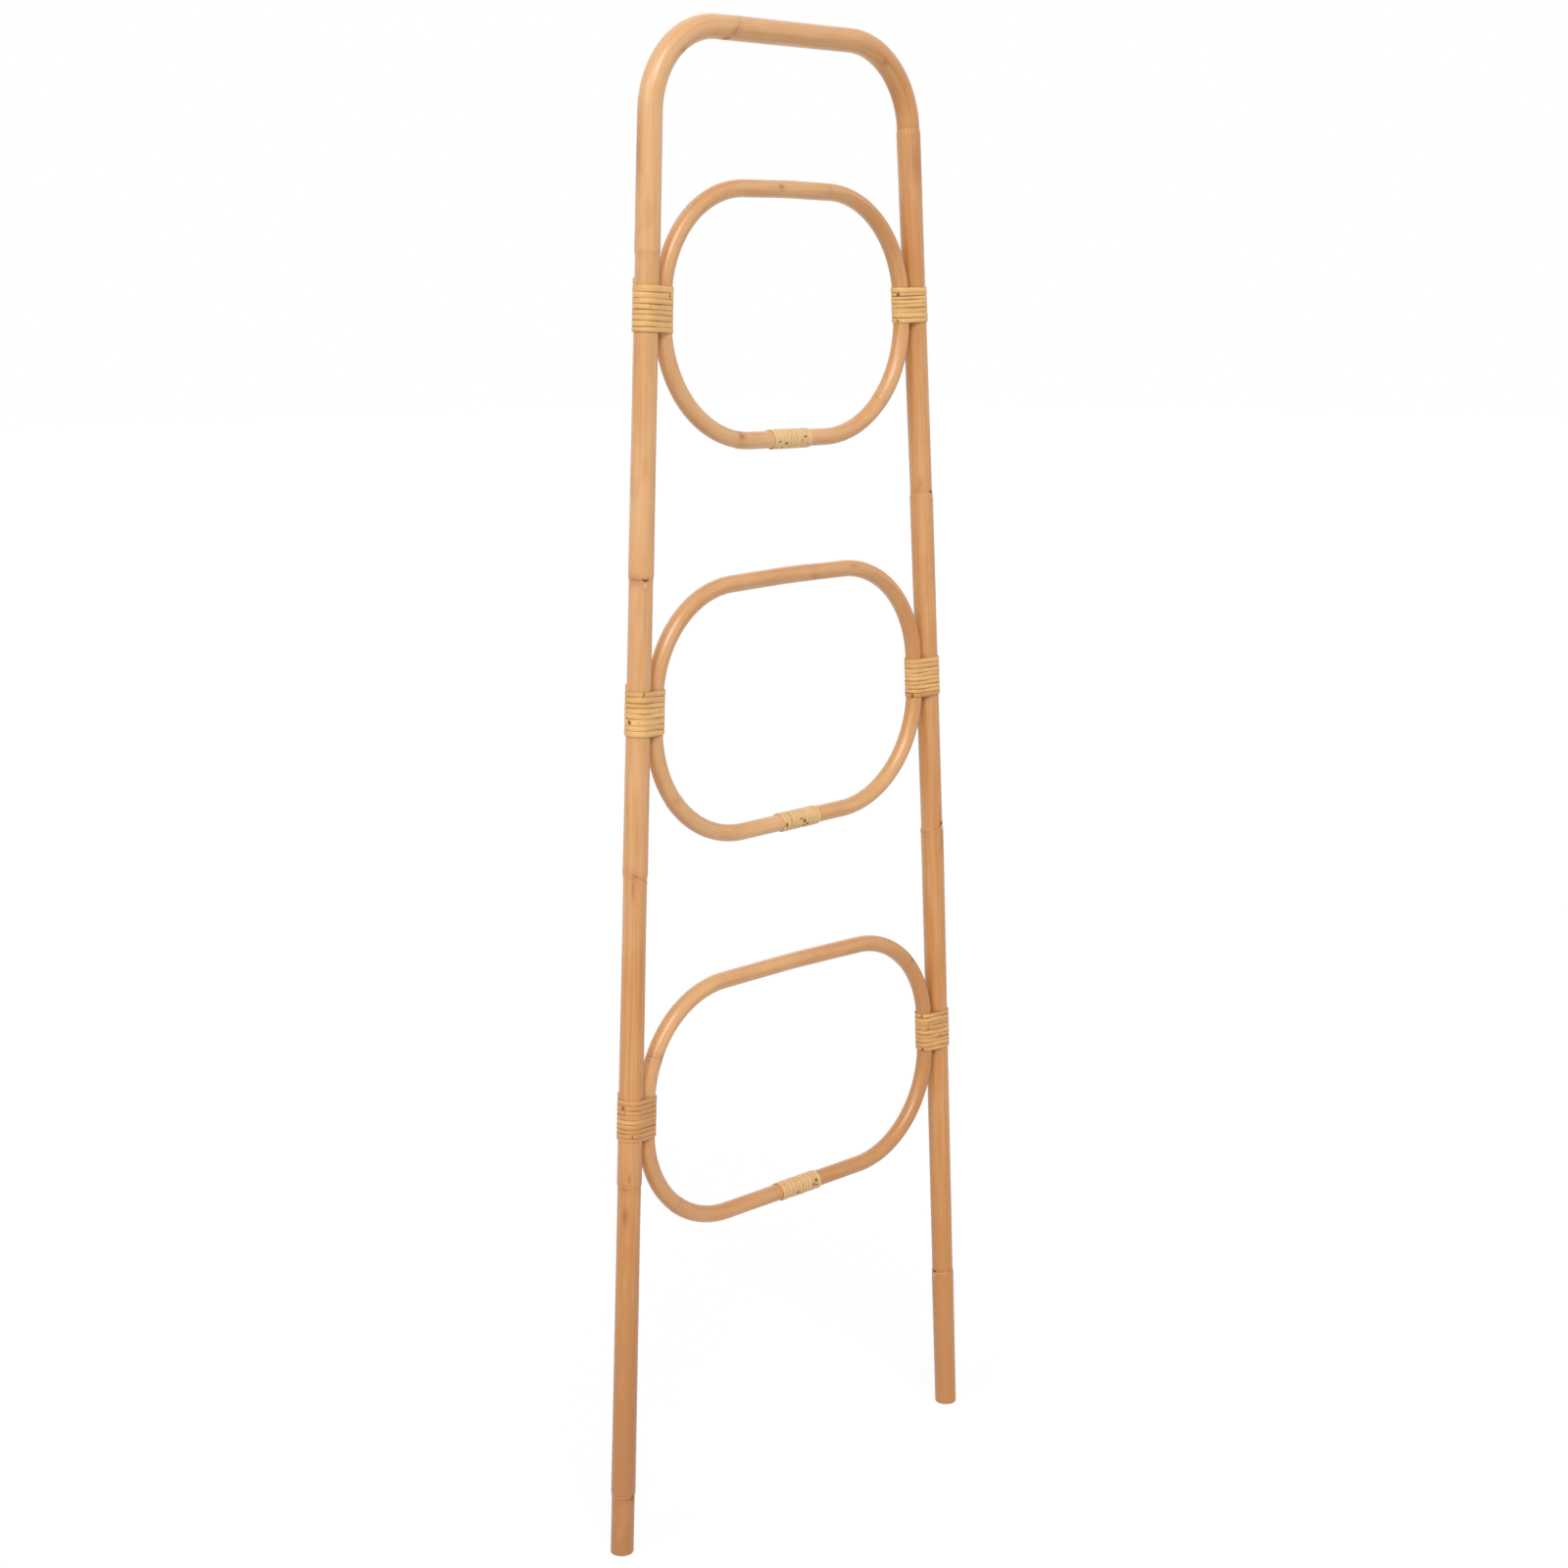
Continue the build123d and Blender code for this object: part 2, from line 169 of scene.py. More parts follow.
# The binding of a hoop's joint: its place, its turns' widths from the left, its tone, how frayed it is, and its
# scars: a turn, the share of the way round from the wall over the top, the length and the darkness
Splice = namedtuple("Splice", "place widths tone fray scars")
SPLICES = {
    "upper": Splice(
        0.0008, (4.8, 5.0, 5.4, 5.2, 5.0, 5.0, 5.2, 5.0, 5.4, 5.0, 5.0, 4.6), 0.2, 0.6,
        ((1, 0.535, 0.003, 1.0), (3, 0.57, 0.0035, 1.1), (2, 0.66, 0.003, 0.9), (9, 0.47, 0.003, 1.2),
         (10, 0.60, 0.003, 0.8), (0, 0.65, 0.003, 0.8)),
    ),
    "middle": Splice(
        0.0113, (6.4, 5.4, 4.4, 4.2, 4.7, 5.2, 5.4, 5.0, 5.0, 5.0, 5.0, 5.2), 0.45, 0.8,
        ((0, 0.53, 0.010, 0.9), (5, 0.47, 0.003, 1.1), (6, 0.52, 0.005, 1.2), (7, 0.58, 0.005, 1.0),
         (6, 0.61, 0.004, 1.0), (8, 0.63, 0.003, 0.8)),
    ),
    "lower": Splice(
        0.0075, (5.4, 5.4, 5.4, 5.4, 5.8, 5.4, 5.0, 5.4, 5.0, 5.4, 5.4, 5.8), 0.7, 0.6,
        ((4, 0.56, 0.006, 0.9), (5, 0.61, 0.003, 0.9), (10, 0.45, 0.006, 1.1), (10, 0.54, 0.004, 1.0),
         (9, 0.51, 0.006, 0.9), (2, 0.67, 0.004, 1.0)),
    ),
}


# Settings


class CaneSizes(bpy.types.PropertyGroup):
    """Sizes of the pole and the hoops."""

    pole: FloatProperty(name="Pole", description="Diameter of the pole", default=0.028, min=0.01, unit="LENGTH")
    hoop: FloatProperty(name="Hoop", description="Diameter of the hoops", default=0.020, min=0.01, unit="LENGTH")
    top_spread: FloatProperty(
        name="Top spread", description="Distance between the rails at the bar", default=0.428, unit="LENGTH"
    )
    pole_bend: FloatProperty(name="Pole bend", description="Radius of the upper bends", default=0.100, unit="LENGTH")
    lower_bow: FloatProperty(name="Lower bow", description="Lower bow of the right rail", default=0.0065, unit="LENGTH")
    upper_bow: FloatProperty(name="Upper bow", description="Upper bow of the right rail", default=0.0050, unit="LENGTH")
    bow_bend: FloatProperty(name="Bow bend", description="Radius of the bows", default=3.0, unit="LENGTH")
    hoop_bend: FloatProperty(name="Hoop bend", description="Upper bends of the hoops", default=0.125, unit="LENGTH")
    crown: FloatProperty(name="Crown", description="Rise of a hoop's upper run", default=0.0035, unit="LENGTH")
    crown_bend: FloatProperty(name="Crown bend", description="Radius of that rise", default=1.5, unit="LENGTH")
    seat_gap: FloatProperty(name="Seat gap", description="Gap between rail and hoop", default=0.0002, unit="LENGTH")
    foot_bevel: FloatProperty(name="Foot bevel", description="Worn edge of a foot", default=0.0012, unit="LENGTH")
    ring_ridge: FloatProperty(name="Ring", description="Height of a growth ring", default=0.0003, unit="LENGTH")
    pole_swell: FloatProperty(name="Pole swelling", description="Swelling past a ring, as a share", default=0.033)
    hoop_swell: FloatProperty(name="Hoop swelling", description="Swelling past a ring, as a share", default=0.015)
    sides: IntProperty(name="Sides", description="Faces round a cane", default=48, min=8)
    step: FloatProperty(name="Step", description="Distance between sections", default=0.004, unit="LENGTH")


class StrandSizes(bpy.types.PropertyGroup):
    """Sizes of the split cane."""

    thickness: FloatProperty(name="Thickness", description="Thickness of a strand", default=0.0018, unit="LENGTH")
    gap: FloatProperty(name="Gap", description="Gap between two turns", default=0.00005, unit="LENGTH")
    wrap_gap: FloatProperty(name="Slack", description="Gap under a strand", default=0.0002, unit="LENGTH")
    step: FloatProperty(name="Step", description="Distance between sections", default=0.0014, unit="LENGTH")
    sides: IntProperty(name="Sides", description="Points round a strand", default=18, min=8)
    tail: FloatProperty(name="Tail", description="Strand beyond the last turn", default=0.012, unit="LENGTH")
    tack_inset: FloatProperty(name="Tack inset", description="From a tack to the end", default=0.005, unit="LENGTH")
    tack_length: FloatProperty(name="Tack length", description="Shank of a tack", default=0.008, unit="LENGTH")
    tack_head: FloatProperty(name="Tack head", description="Diameter of a tack's head", default=0.0034, unit="LENGTH")


class CaneColours(bpy.types.PropertyGroup):
    """Colours of the finishes."""

    pole_light: FloatVectorProperty(
        name="Pole, light", description="Lighter skin of the pole", subtype="COLOR", default=(0.82, 0.46, 0.205)
    )
    pole_dark: FloatVectorProperty(
        name="Pole, dark", description="Darker skin of the pole", subtype="COLOR", default=(0.62, 0.258, 0.066)
    )
    hoop_light: FloatVectorProperty(
        name="Hoop, light", description="Lighter skin of a hoop", subtype="COLOR", default=(0.84, 0.49, 0.225)
    )
    hoop_dark: FloatVectorProperty(
        name="Hoop, dark", description="Darker skin of a hoop", subtype="COLOR", default=(0.62, 0.268, 0.078)
    )
    strand_light: FloatVectorProperty(
        name="Strand, light", description="Paler split cane", subtype="COLOR", default=(0.92, 0.56, 0.20)
    )
    strand_dark: FloatVectorProperty(
        name="Strand, dark", description="Browner split cane", subtype="COLOR", default=(0.66, 0.31, 0.095)
    )
    joint_light: FloatVectorProperty(
        name="Joint strand, light", description="Paler strand of a joint", subtype="COLOR", default=(0.87, 0.58, 0.27)
    )
    joint_dark: FloatVectorProperty(
        name="Joint strand, dark", description="Browner strand of a joint", subtype="COLOR", default=(0.70, 0.39, 0.15)
    )
    ring: FloatVectorProperty(
        name="Ring", description="Line of a growth ring", subtype="COLOR", default=(0.34, 0.095, 0.032)
    )
    stain: FloatVectorProperty(
        name="Stain", description="Stains on the canes", subtype="COLOR", default=(0.30, 0.085, 0.030)
    )
    scar: FloatVectorProperty(
        name="Scar", description="Notches in the strands", subtype="COLOR", default=(0.22, 0.070, 0.020)
    )
    heartwood: FloatVectorProperty(
        name="Heartwood", description="The cut end of a cane", subtype="COLOR", default=(0.62, 0.42, 0.24)
    )
    steel: FloatVectorProperty(name="Steel", description="Fasteners", subtype="COLOR", default=(0.42, 0.40, 0.36))


class StudioSettings(bpy.types.PropertyGroup):
    """The camera and the light."""

    camera: FloatVectorProperty(
        name="Camera", description="Place of the camera", default=(-2.0171, -2.0293, 1.4222), unit="LENGTH"
    )
    yaw: FloatProperty(name="Yaw", description="Turn of the camera to the right", default=-0.780, unit="ROTATION")
    pitch: FloatProperty(name="Pitch", description="Look down", default=0.188, unit="ROTATION")
    roll: FloatProperty(name="Roll", description="Roll of the camera", default=-0.007, unit="ROTATION")
    lens: FloatProperty(name="Lens", description="Focal length in millimetres", default=56.25)
    surround: FloatProperty(name="Surround", description="Brightness of the soft surround", default=0.26)
    key: FloatProperty(name="Key", description="Strength of the light in front", default=1.45)
    left: FloatProperty(name="Left", description="Strength of the light on the left", default=0.85)
    fill: FloatProperty(name="Fill", description="Strength of the light on the right", default=0.35)
    rim: FloatProperty(name="Rim", description="Strength of the light behind", default=0.45)


# Lines in the ladder's plane


def pole_lines():
    """The corners of each rail's line from the floor up."""
    cane = bpy.context.scene.cane_sizes
    foot = CAD_HIGH.x - cane.pole / 2
    top = cane.top_spread / 2 - cane.pole / 2
    bar = CAD_HIGH.z - cane.pole / 2
    left = [Vector((-foot, 0, 0)), Vector((-top, 0, bar))]
    right = [Vector((foot, 0, 0)), Vector((top, 0, bar))]
    middles = [HOOPS[name].middle for name in ("lower", "middle", "upper")]
    for low, high, bow in zip(middles, middles[1:], (cane.lower_bow, cane.upper_bow)):
        height = (low + high) / 2
        right.insert(-1, at_height(right[0], right[-1], height) + Vector((bow, 0, 0)))
    return {"left": left, "right": right}


def at_height(low, high, height):
    """The point at a height on the line through two points."""
    return low.lerp(high, (height - low.z) / (high.z - low.z))


def rail_frame(side, height):
    """A place on a rail, the direction from there to the hoops, and the rail's direction up."""
    corners = pole_lines()[side]
    for low, high in zip(corners, corners[1:]):
        if height <= high.z:
            break
    up = (high - low).normalized()
    return at_height(low, high, height), up.cross(WALL) * SIDES[side], up


def seat(name, side):
    """The place on a rail beside the middle of a hoop's side."""
    hoop = HOOPS[name]
    return rail_frame(side, hoop.middle + SIDES[side] * hoop.skew / 2)


def hoop_corners(name, side):
    """The lower and the upper corner of a hoop's side."""
    cane = bpy.context.scene.cane_sizes
    place, inward, up = seat(name, side)
    middle = place + inward * ((cane.pole + cane.hoop) / 2 + cane.seat_gap)
    reach = (HOOPS[name].height - cane.hoop) / 2
    return middle - up * reach, middle + up * reach


def rounded(corners, bends, step, closed=False):
    """Points along a line with round bends, no further apart than the step."""
    count = len(corners)
    stops = []
    for index, (corner, bend) in enumerate(zip(corners, bends)):
        if bend == 0:
            stops.append([corner])
            continue
        before = (corner - corners[index - 1]).normalized()
        after = (corners[(index + 1) % count] - corner).normalized()
        turn = before.angle(after)
        reach = bend * math.tan(turn / 2)
        sense = 1 if before.cross(after).y > 0 else -1
        center = corner - before * reach + before.cross(Vector((0, -sense, 0))) * bend
        spoke = corner - before * reach - center
        pieces = max(4, math.ceil(bend * turn / step))
        stops.append(
            [center + Matrix.Rotation(sense * turn * k / pieces, 3, "Y") @ spoke for k in range(pieces + 1)]
        )
    points = []
    for index, stop in enumerate(stops):
        if index or closed:
            start = stops[index - 1][-1]
            pieces = max(1, math.ceil((stop[0] - start).length / step))
            points += [start.lerp(stop[0], k / pieces) for k in range(1, pieces)]
        points += stop
    return points


def pole_line(step):
    """The pole's centre line from the left foot over the top to the right foot."""
    cane = bpy.context.scene.cane_sizes
    lines = pole_lines()
    drop = [at_height(*lines[side][:2], -cane.pole / 2) for side in ("left", "right")]
    corners = [drop[0], lines["left"][-1], *reversed(lines["right"][1:]), drop[1]]
    return rounded(corners, [0, cane.pole_bend, cane.pole_bend, cane.bow_bend, cane.bow_bend, 0], step)


def hoop_line(name, step):
    """A hoop's closed centre line, from the lower left bend round by the right."""
    cane = bpy.context.scene.cane_sizes
    low_left, high_left = hoop_corners(name, "left")
    low_right, high_right = hoop_corners(name, "right")
    crown = (high_left + high_right) / 2 + Vector((0, 0, cane.crown))
    bottom = HOOPS[name].bottom_bend
    bends = [bottom, bottom, cane.hoop_bend, cane.crown_bend, cane.hoop_bend]
    return rounded([low_left, low_right, high_right, crown, high_left], bends, step, closed=True)


def lengths(points):
    """The distance along a line at each of its points."""
    total = [0.0]
    for before, after in zip(points, points[1:]):
        total.append(total[-1] + (after - before).length)
    return total


# Node trees written as Python expressions


class Wire:
    """A socket of a node tree that can be used in a sum."""

    def __init__(self, tree, socket):
        self.tree = tree
        self.socket = socket

    def math(self, operation, *others):
        """The result of a Math node on this and the other values."""
        values = dict(enumerate((self, *others)))
        return self.tree.add("ShaderNodeMath", {"operation": operation}, values)

    def __add__(self, other):
        return self.math("ADD", other)

    def __sub__(self, other):
        return self.math("SUBTRACT", other)

    def __mul__(self, other):
        return self.math("MULTIPLY", other)

    def __rsub__(self, other):
        return self.tree.add("ShaderNodeMath", {"operation": "SUBTRACT"}, {0: other, 1: self})

    __radd__ = __add__
    __rmul__ = __mul__

    def clamped(self):
        """The value held between 0 and 1."""
        return self.tree.add("ShaderNodeClamp", {}, {"Value": self})

    def between(self, low, high):
        """0 below the low value, 1 above the high one and a smooth slope between."""
        settings = {"interpolation_type": "SMOOTHSTEP"}
        return self.tree.add("ShaderNodeMapRange", settings, {"Value": self, "From Min": low, "From Max": high})

    def bump_at(self, center, width):
        """1 at a value and 0 further than a width from it."""
        return 1 - (self - center).math("ABSOLUTE").between(0.0, width)


class Tree:
    """A node tree to which nodes are added with their settings and sockets."""

    def __init__(self, tree):
        self.tree = tree

    def add(self, kind, settings, sockets, output=0):
        """The output of a new node, once its settings and then its sockets are set."""
        node = self.tree.nodes.new(kind)
        for name, value in settings.items():
            setattr(node, name, value)
        for key, value in sockets.items():
            if isinstance(value, Wire):
                self.tree.links.new(value.socket, node.inputs[key])
            else:
                node.inputs[key].default_value = value
        return Wire(self, node.outputs[output]) if node.outputs else None

    def mix(self, factor, first, second):
        """A colour between two others."""
        settings = {"data_type": "RGBA", "clamp_factor": True}
        colours = [(*c, 1.0) if len(c) == 3 else c for c in (first, second) if not isinstance(c, Wire)]
        first = first if isinstance(first, Wire) else colours.pop(0)
        second = second if isinstance(second, Wire) else colours.pop(0)
        return self.add("ShaderNodeMix", settings, {0: factor, 6: first, 7: second}, output=2)

    def attribute(self, name, output=1):
        """A value stored on the mesh: a vector, or with output 2 a number."""
        return self.add("ShaderNodeAttribute", {"attribute_name": name}, {}, output)

    def parts(self, vector):
        """The three numbers of a vector."""
        return [self.add("ShaderNodeSeparateXYZ", {}, {0: vector}, output=k) for k in range(3)]

    def grain(self, vector, scale, shift=(0.0, 0.0, 0.0), detail=2.0):
        """Noise on a vector after a scale and a shift."""
        stretched = self.add("ShaderNodeMapping", {}, {"Vector": vector, "Scale": scale, "Location": shift})
        sockets = {"Vector": stretched, "Scale": 1.0, "Detail": detail, "Roughness": 0.55}
        return self.add("ShaderNodeTexNoise", {}, sockets)

    def relief(self, height, strength):
        """A bump of a third of a millimetre at most."""
        return self.add("ShaderNodeBump", {}, {"Strength": strength, "Distance": 0.0003, "Height": height})

    def layered(self, colour, layers):
        """A colour under layers, each a factor and a shade."""
        for factor, shade in layers:
            colour = self.mix(factor, colour, shade)
        return colour


def new_material(name):
    """An empty material, its tree and its output node."""
    material = bpy.data.materials.new(name)
    material.use_nodes = True
    material.node_tree.nodes.clear()
    return material, Tree(material.node_tree)


def finished(tree, shader):
    """Joins a shader to the material's output."""
    tree.add("ShaderNodeOutputMaterial", {}, {"Surface": shader})


# Finishes


# The shades that a cane's skin turns to, beside its own light and dark ones. SHADED is painted shade, laid on
# where the tone runs past 0.95, as towards the pole's feet
SHADED = (0.36, 0.145, 0.045)
BLUSHED = (0.66, 0.26, 0.095)
BRUISED = (0.50, 0.17, 0.060)
RING_LIP = (0.88, 0.55, 0.28)
BUD_GROOVE = (0.40, 0.18, 0.075)
BUD_TIP = (0.90, 0.66, 0.40)
BUD_SCAR = (0.09, 0.022, 0.012)
# The shades that a strand's skin turns to; the first is painted shade for the seams between turns
SEAM_SHADE = (0.40, 0.16, 0.045)
STRAND_KNOT = (0.50, 0.22, 0.07)
NOTCH_EDGE = (0.50, 0.21, 0.065)


def cane_skin(name, light, dark, ring_shade, stain_shade):
    """The smooth skin of a cane: grain along it, mottling, growth rings, bud scars and their grooves,
    and the painted shade and painted highlight that its tone carries.
    """
    material, tree = new_material(name)
    straight = tree.attribute("straight")
    tone = tree.attribute("tone", output=2)
    stain = tree.attribute("stain", output=2)
    ring_distance, ring_dark = tree.parts(tree.attribute("ring"))[:2]
    across, along, bud_dark = tree.parts(tree.attribute("bud"))

    fibres = tree.grain(straight, (700.0, 700.0, 16.0), detail=3.0)
    streaks = tree.grain(straight, (260.0, 260.0, 5.0), (3.0, 0.0, 0.0))
    mottle = tree.grain(straight, (55.0, 55.0, 18.0), (0.0, 7.0, 0.0))
    drift = tree.grain(straight, (24.0, 24.0, 5.0), (0.0, 0.0, 5.0), detail=1.0)
    shade = tone + (drift - 0.5) * 1.1 + (mottle - 0.5) * 0.7 + (streaks - 0.5) * 1.3 + (fibres - 0.5) * 0.7
    blush = tree.grain(straight, (60.0, 60.0, 22.0), (11.0, 0.0, 2.0)).between(0.54, 0.72) * 0.30
    lines = (1 - streaks.between(0.28, 0.48)) * 0.32

    waver = (tree.grain(straight, (150.0, 150.0, 60.0), (5.0, 0.0, 0.0)) - 0.5) * 0.004
    distance = ring_distance + waver
    patchy = tree.grain(straight, (130.0, 130.0, 30.0), (1.0, 9.0, 0.0)).between(0.35, 0.65)
    halo = (1 - distance.math("ABSOLUTE").between(0.0, 0.011)) * ring_dark * (0.16 + patchy * 0.34)
    lip = distance.bump_at(0.0019, 0.0016) * ring_dark * 0.12
    line = distance.bump_at(0.0, 0.0013) * ring_dark * (0.10 + patchy * 0.60)
    blot = stain * (0.5 + mottle)

    mouth = 1 - across.math("ABSOLUTE").between(0.0026, 0.0044)
    smile = (along - across * across * 150.0).bump_at(0.0, 0.0024) * mouth * bud_dark
    tip = (along + 0.0052).bump_at(0.0, 0.0040) * across.bump_at(0.0, 0.0030) * bud_dark
    bruise = along.bump_at(-0.002, 0.014) * across.bump_at(0.0, 0.010) * (0.3 + patchy * 0.5) * bud_dark
    behind = -1.0 * along
    stretch = behind.between(0.002, 0.008) * (1 - behind.between(0.030, 0.110))
    drifting = across + (tree.grain(straight, (1.0, 1.0, 40.0), (0.0, 4.0, 0.0)) - 0.5) * 0.004
    groove = drifting.bump_at(0.0, 0.0013) * stretch * bud_dark

    layers = (
        # Painted shade where the tone runs past 0.95, as towards the pole's feet
        ((tone - 0.95).clamped(), SHADED),
        (blush, BLUSHED),
        (lines, dark),
        (halo, BRUISED),
        (lip, RING_LIP),
        (line, ring_shade),
        (blot.clamped() * 0.85, stain_shade),
        (bruise * 0.5, BRUISED),
        (groove * 0.5, BUD_GROOVE),
        (tip * 0.7, BUD_TIP),
        (smile * 0.95, BUD_SCAR),
    )
    colour = tree.layered(tree.mix(shade.clamped(), light, dark), layers)
    height = fibres * 0.3 + streaks * 0.5 - line * 1.2 + lip * 0.5 - smile * 2.5 - groove - blot
    hollow = (smile + blot + line).clamped()
    sockets = {
        "Base Color": colour,
        "Roughness": 0.38 + (mottle - 0.5) * 0.16 + hollow * 0.5,
        "Normal": tree.relief(height, 0.28),
        "Coat Weight": (1 - hollow) * 0.36,
        "Coat Roughness": 0.20,
    }
    finished(tree, tree.add("ShaderNodeBsdfPrincipled", {}, sockets))
    return material


def split_cane(name, light, dark, notch_shade, seam_shading):
    """The skin of a split strand: fine fibres along it, paler and browner stretches, and dull edges with painted
    shade in the seams between turns.
    """
    material, tree = new_material(name)
    straight = tree.attribute("straight")
    tone, edge, scar, fray = (tree.attribute(label, output=2) for label in ("tone", "edge", "scar", "fray"))
    fibres = tree.grain(straight, (1300.0, 1300.0, 40.0), detail=3.0)
    streaks = tree.grain(straight, (520.0, 520.0, 18.0), (3.0, 0.0, 0.0))
    stretch = tree.grain(straight, (40.0, 40.0, 28.0), (0.0, 3.0, 0.0), detail=1.0)
    fibrous = (streaks - 0.5) * (0.7 + fray * 1.3) + (fibres - 0.5) * (0.5 + fray * 0.8)
    shade = tone + (stretch - 0.5) * 1.1 + fibrous - 0.15
    # Painted shade in the seams between turns, darkest at the strand's edges where one turn meets the next
    seam_shade = edge * (0.35 + streaks * 0.8)
    knots = tree.grain(straight, (120.0, 120.0, 70.0), (0.0, 0.0, 9.0)).between(0.64, 0.74) * 0.5
    across = tree.parts(straight)[0] * 420.0
    tatter = tree.grain(straight, (900.0, 900.0, 500.0), (0.0, 0.0, 4.0))
    ragged = (scar * 1.5 - across * across * 0.45 + tatter * 1.4).between(1.50, 2.00)
    halo = (scar * 1.5 - across * across * 0.25 + tatter * 0.5).between(0.9, 1.8)
    layers = (
        (seam_shade.clamped() * seam_shading, SEAM_SHADE),
        (knots, STRAND_KNOT),
        (halo * 0.5, NOTCH_EDGE),
        (ragged * 0.85, notch_shade),
    )
    colour = tree.layered(tree.mix(shade.clamped(), light, dark), layers)
    sockets = {
        "Base Color": colour,
        "Roughness": 0.36 + (streaks - 0.5) * 0.2 + edge * 0.3 + ragged * 0.5,
        "Normal": tree.relief(fibres * 0.5 + streaks * 0.8 - knots * 1.5 - ragged * 2.0, 0.4),
        "Coat Weight": (1 - ragged) * 0.2,
        "Coat Roughness": 0.18,
    }
    finished(tree, tree.add("ShaderNodeBsdfPrincipled", {}, sockets))
    return material


def cut_end(name, colour):
    """The cut end of a cane: a pale, matt face full of pores."""
    material, tree = new_material(name)
    place = tree.add("ShaderNodeTexCoord", {}, {}, output=3)
    pores = tree.add("ShaderNodeTexVoronoi", {}, {"Vector": place, "Scale": 950.0}).between(0.12, 0.3)
    cloud = tree.grain(place, (240.0, 240.0, 240.0))
    shade = tree.mix((1 - pores) * 0.8, colour, (0.20, 0.10, 0.045))
    shade = tree.mix(cloud.between(0.35, 0.75) * 0.4, shade, (0.44, 0.25, 0.12))
    sockets = {"Base Color": shade, "Roughness": 0.82, "Normal": tree.relief(pores, 0.5)}
    finished(tree, tree.add("ShaderNodeBsdfPrincipled", {}, sockets))
    return material


def plated_steel(name, colour):
    """Zinc-plated steel with a faint cloud in its gloss."""
    material, tree = new_material(name)
    place = tree.add("ShaderNodeTexCoord", {}, {}, output=3)
    cloud = tree.grain(place, (600.0, 600.0, 600.0))
    shade = tree.mix(cloud.between(0.3, 0.8) * 0.5, colour, [c * 0.6 for c in colour])
    sockets = {"Base Color": shade, "Metallic": 1.0, "Roughness": 0.34 + cloud * 0.2}
    finished(tree, tree.add("ShaderNodeBsdfPrincipled", {}, sockets))
    return material


# The rays that see the white surround itself, and not the light that it gives
SEEN_RAYS = ("Is Camera Ray", "Is Glossy Ray", "Is Transmission Ray")


def seen_directly(tree):
    """1 for the rays that see a white background, and 0 for the light that falls on the ladder."""
    seen = [tree.add("ShaderNodeLightPath", {}, {}, output=name) for name in SEEN_RAYS]
    return (seen[0] + seen[1] + seen[2]).clamped()


def backdrop(name, level):
    """A pale floor that the camera sees as white, with the object's shadow kept."""
    material, tree = new_material(name)
    diffuse = tree.add("ShaderNodeBsdfDiffuse", {}, {"Color": (0.80, 0.80, 0.80, 1.0)})
    glow = tree.add("ShaderNodeEmission", {}, {"Color": (1.0, 1.0, 1.0, 1.0), "Strength": 1.10})
    finished(tree, tree.add("ShaderNodeMixShader", {}, {0: seen_directly(tree) * level, 1: diffuse, 2: glow}))
    return material


# Geometry Nodes trees


def new_tree(name, inputs):
    """A new geometry tree, its nodes, and the outputs of its geometry and its named inputs."""
    group = bpy.data.node_groups.new(name, "GeometryNodeTree")
    group.is_modifier = True
    group.interface.new_socket(name="Geometry", in_out="INPUT", socket_type="NodeSocketGeometry")
    for label, kind in inputs.items():
        group.interface.new_socket(name=label, in_out="INPUT", socket_type=f"NodeSocket{kind}")
    group.interface.new_socket(name="Geometry", in_out="OUTPUT", socket_type="NodeSocketGeometry")
    nodes = Tree(group)
    entry = group.nodes.new("NodeGroupInput")
    return group, nodes, [Wire(nodes, entry.outputs[k]) for k in range(len(inputs) + 1)]


def tree_end(nodes, mesh, finish):
    """Makes the tree's result real, gives it its finish and joins it to the output."""
    mesh = nodes.add("GeometryNodeRealizeInstances", {}, {"Geometry": mesh})
    mesh = nodes.add("GeometryNodeSetMaterial", {}, {"Geometry": mesh, "Material": finish})
    nodes.add("NodeGroupOutput", {}, {0: mesh})


def named(nodes, name, data_type="FLOAT"):
    """An attribute of the geometry."""
    return nodes.add("GeometryNodeInputNamedAttribute", {"data_type": data_type}, {"Name": name})


def stored(nodes, geometry, name, value, data_type="FLOAT"):
    """The geometry with an attribute stored at its points."""
    sockets = {"Geometry": geometry, "Name": name, "Value": value}
    return nodes.add("GeometryNodeStoreNamedAttribute", {"data_type": data_type, "domain": "POINT"}, sockets)


def round_profile(nodes, points):
    """A circle of radius 1 that stores the angle round it."""
    profile = nodes.add("GeometryNodeCurvePrimitiveCircle", {}, {"Resolution": points, "Radius": 1.0})
    return stored(nodes, profile, "around", nodes.add("GeometryNodeSplineParameter", {}, {}) * (2 * math.pi))


def scaled(nodes, vector, amount):
    """A vector times a number."""
    return nodes.add("ShaderNodeVectorMath", {"operation": "SCALE"}, {0: vector, "Scale": amount})


def cane_tree():
    """A round cane along a line, as thick as the line's points say."""
    group, nodes, (line, sides, skin) = new_tree("Cane along a line", {"Sides": "Int", "Skin": "Material"})
    curve = nodes.add("GeometryNodeMeshToCurve", {}, {"Mesh": line})
    curve = stored(nodes, curve, "along", named(nodes, "distance"))
    sockets = {"Curve": curve, "Normal": (0.0, -1.0, 0.0)}
    curve = nodes.add("GeometryNodeSetCurveNormal", {"mode": "FREE"}, sockets)
    profile = round_profile(nodes, sides)
    sockets = {"Curve": curve, "Profile Curve": profile, "Scale": named(nodes, "radius"), "Fill Caps": True}
    tree_end(nodes, nodes.add("GeometryNodeCurveToMesh", {}, sockets), skin)
    return group


# A strand's section: its height at the edges as a share of its crown's, and how far frays stand out
EDGE_HEIGHT = 0.38
FRAY_DEPTH = 0.0009


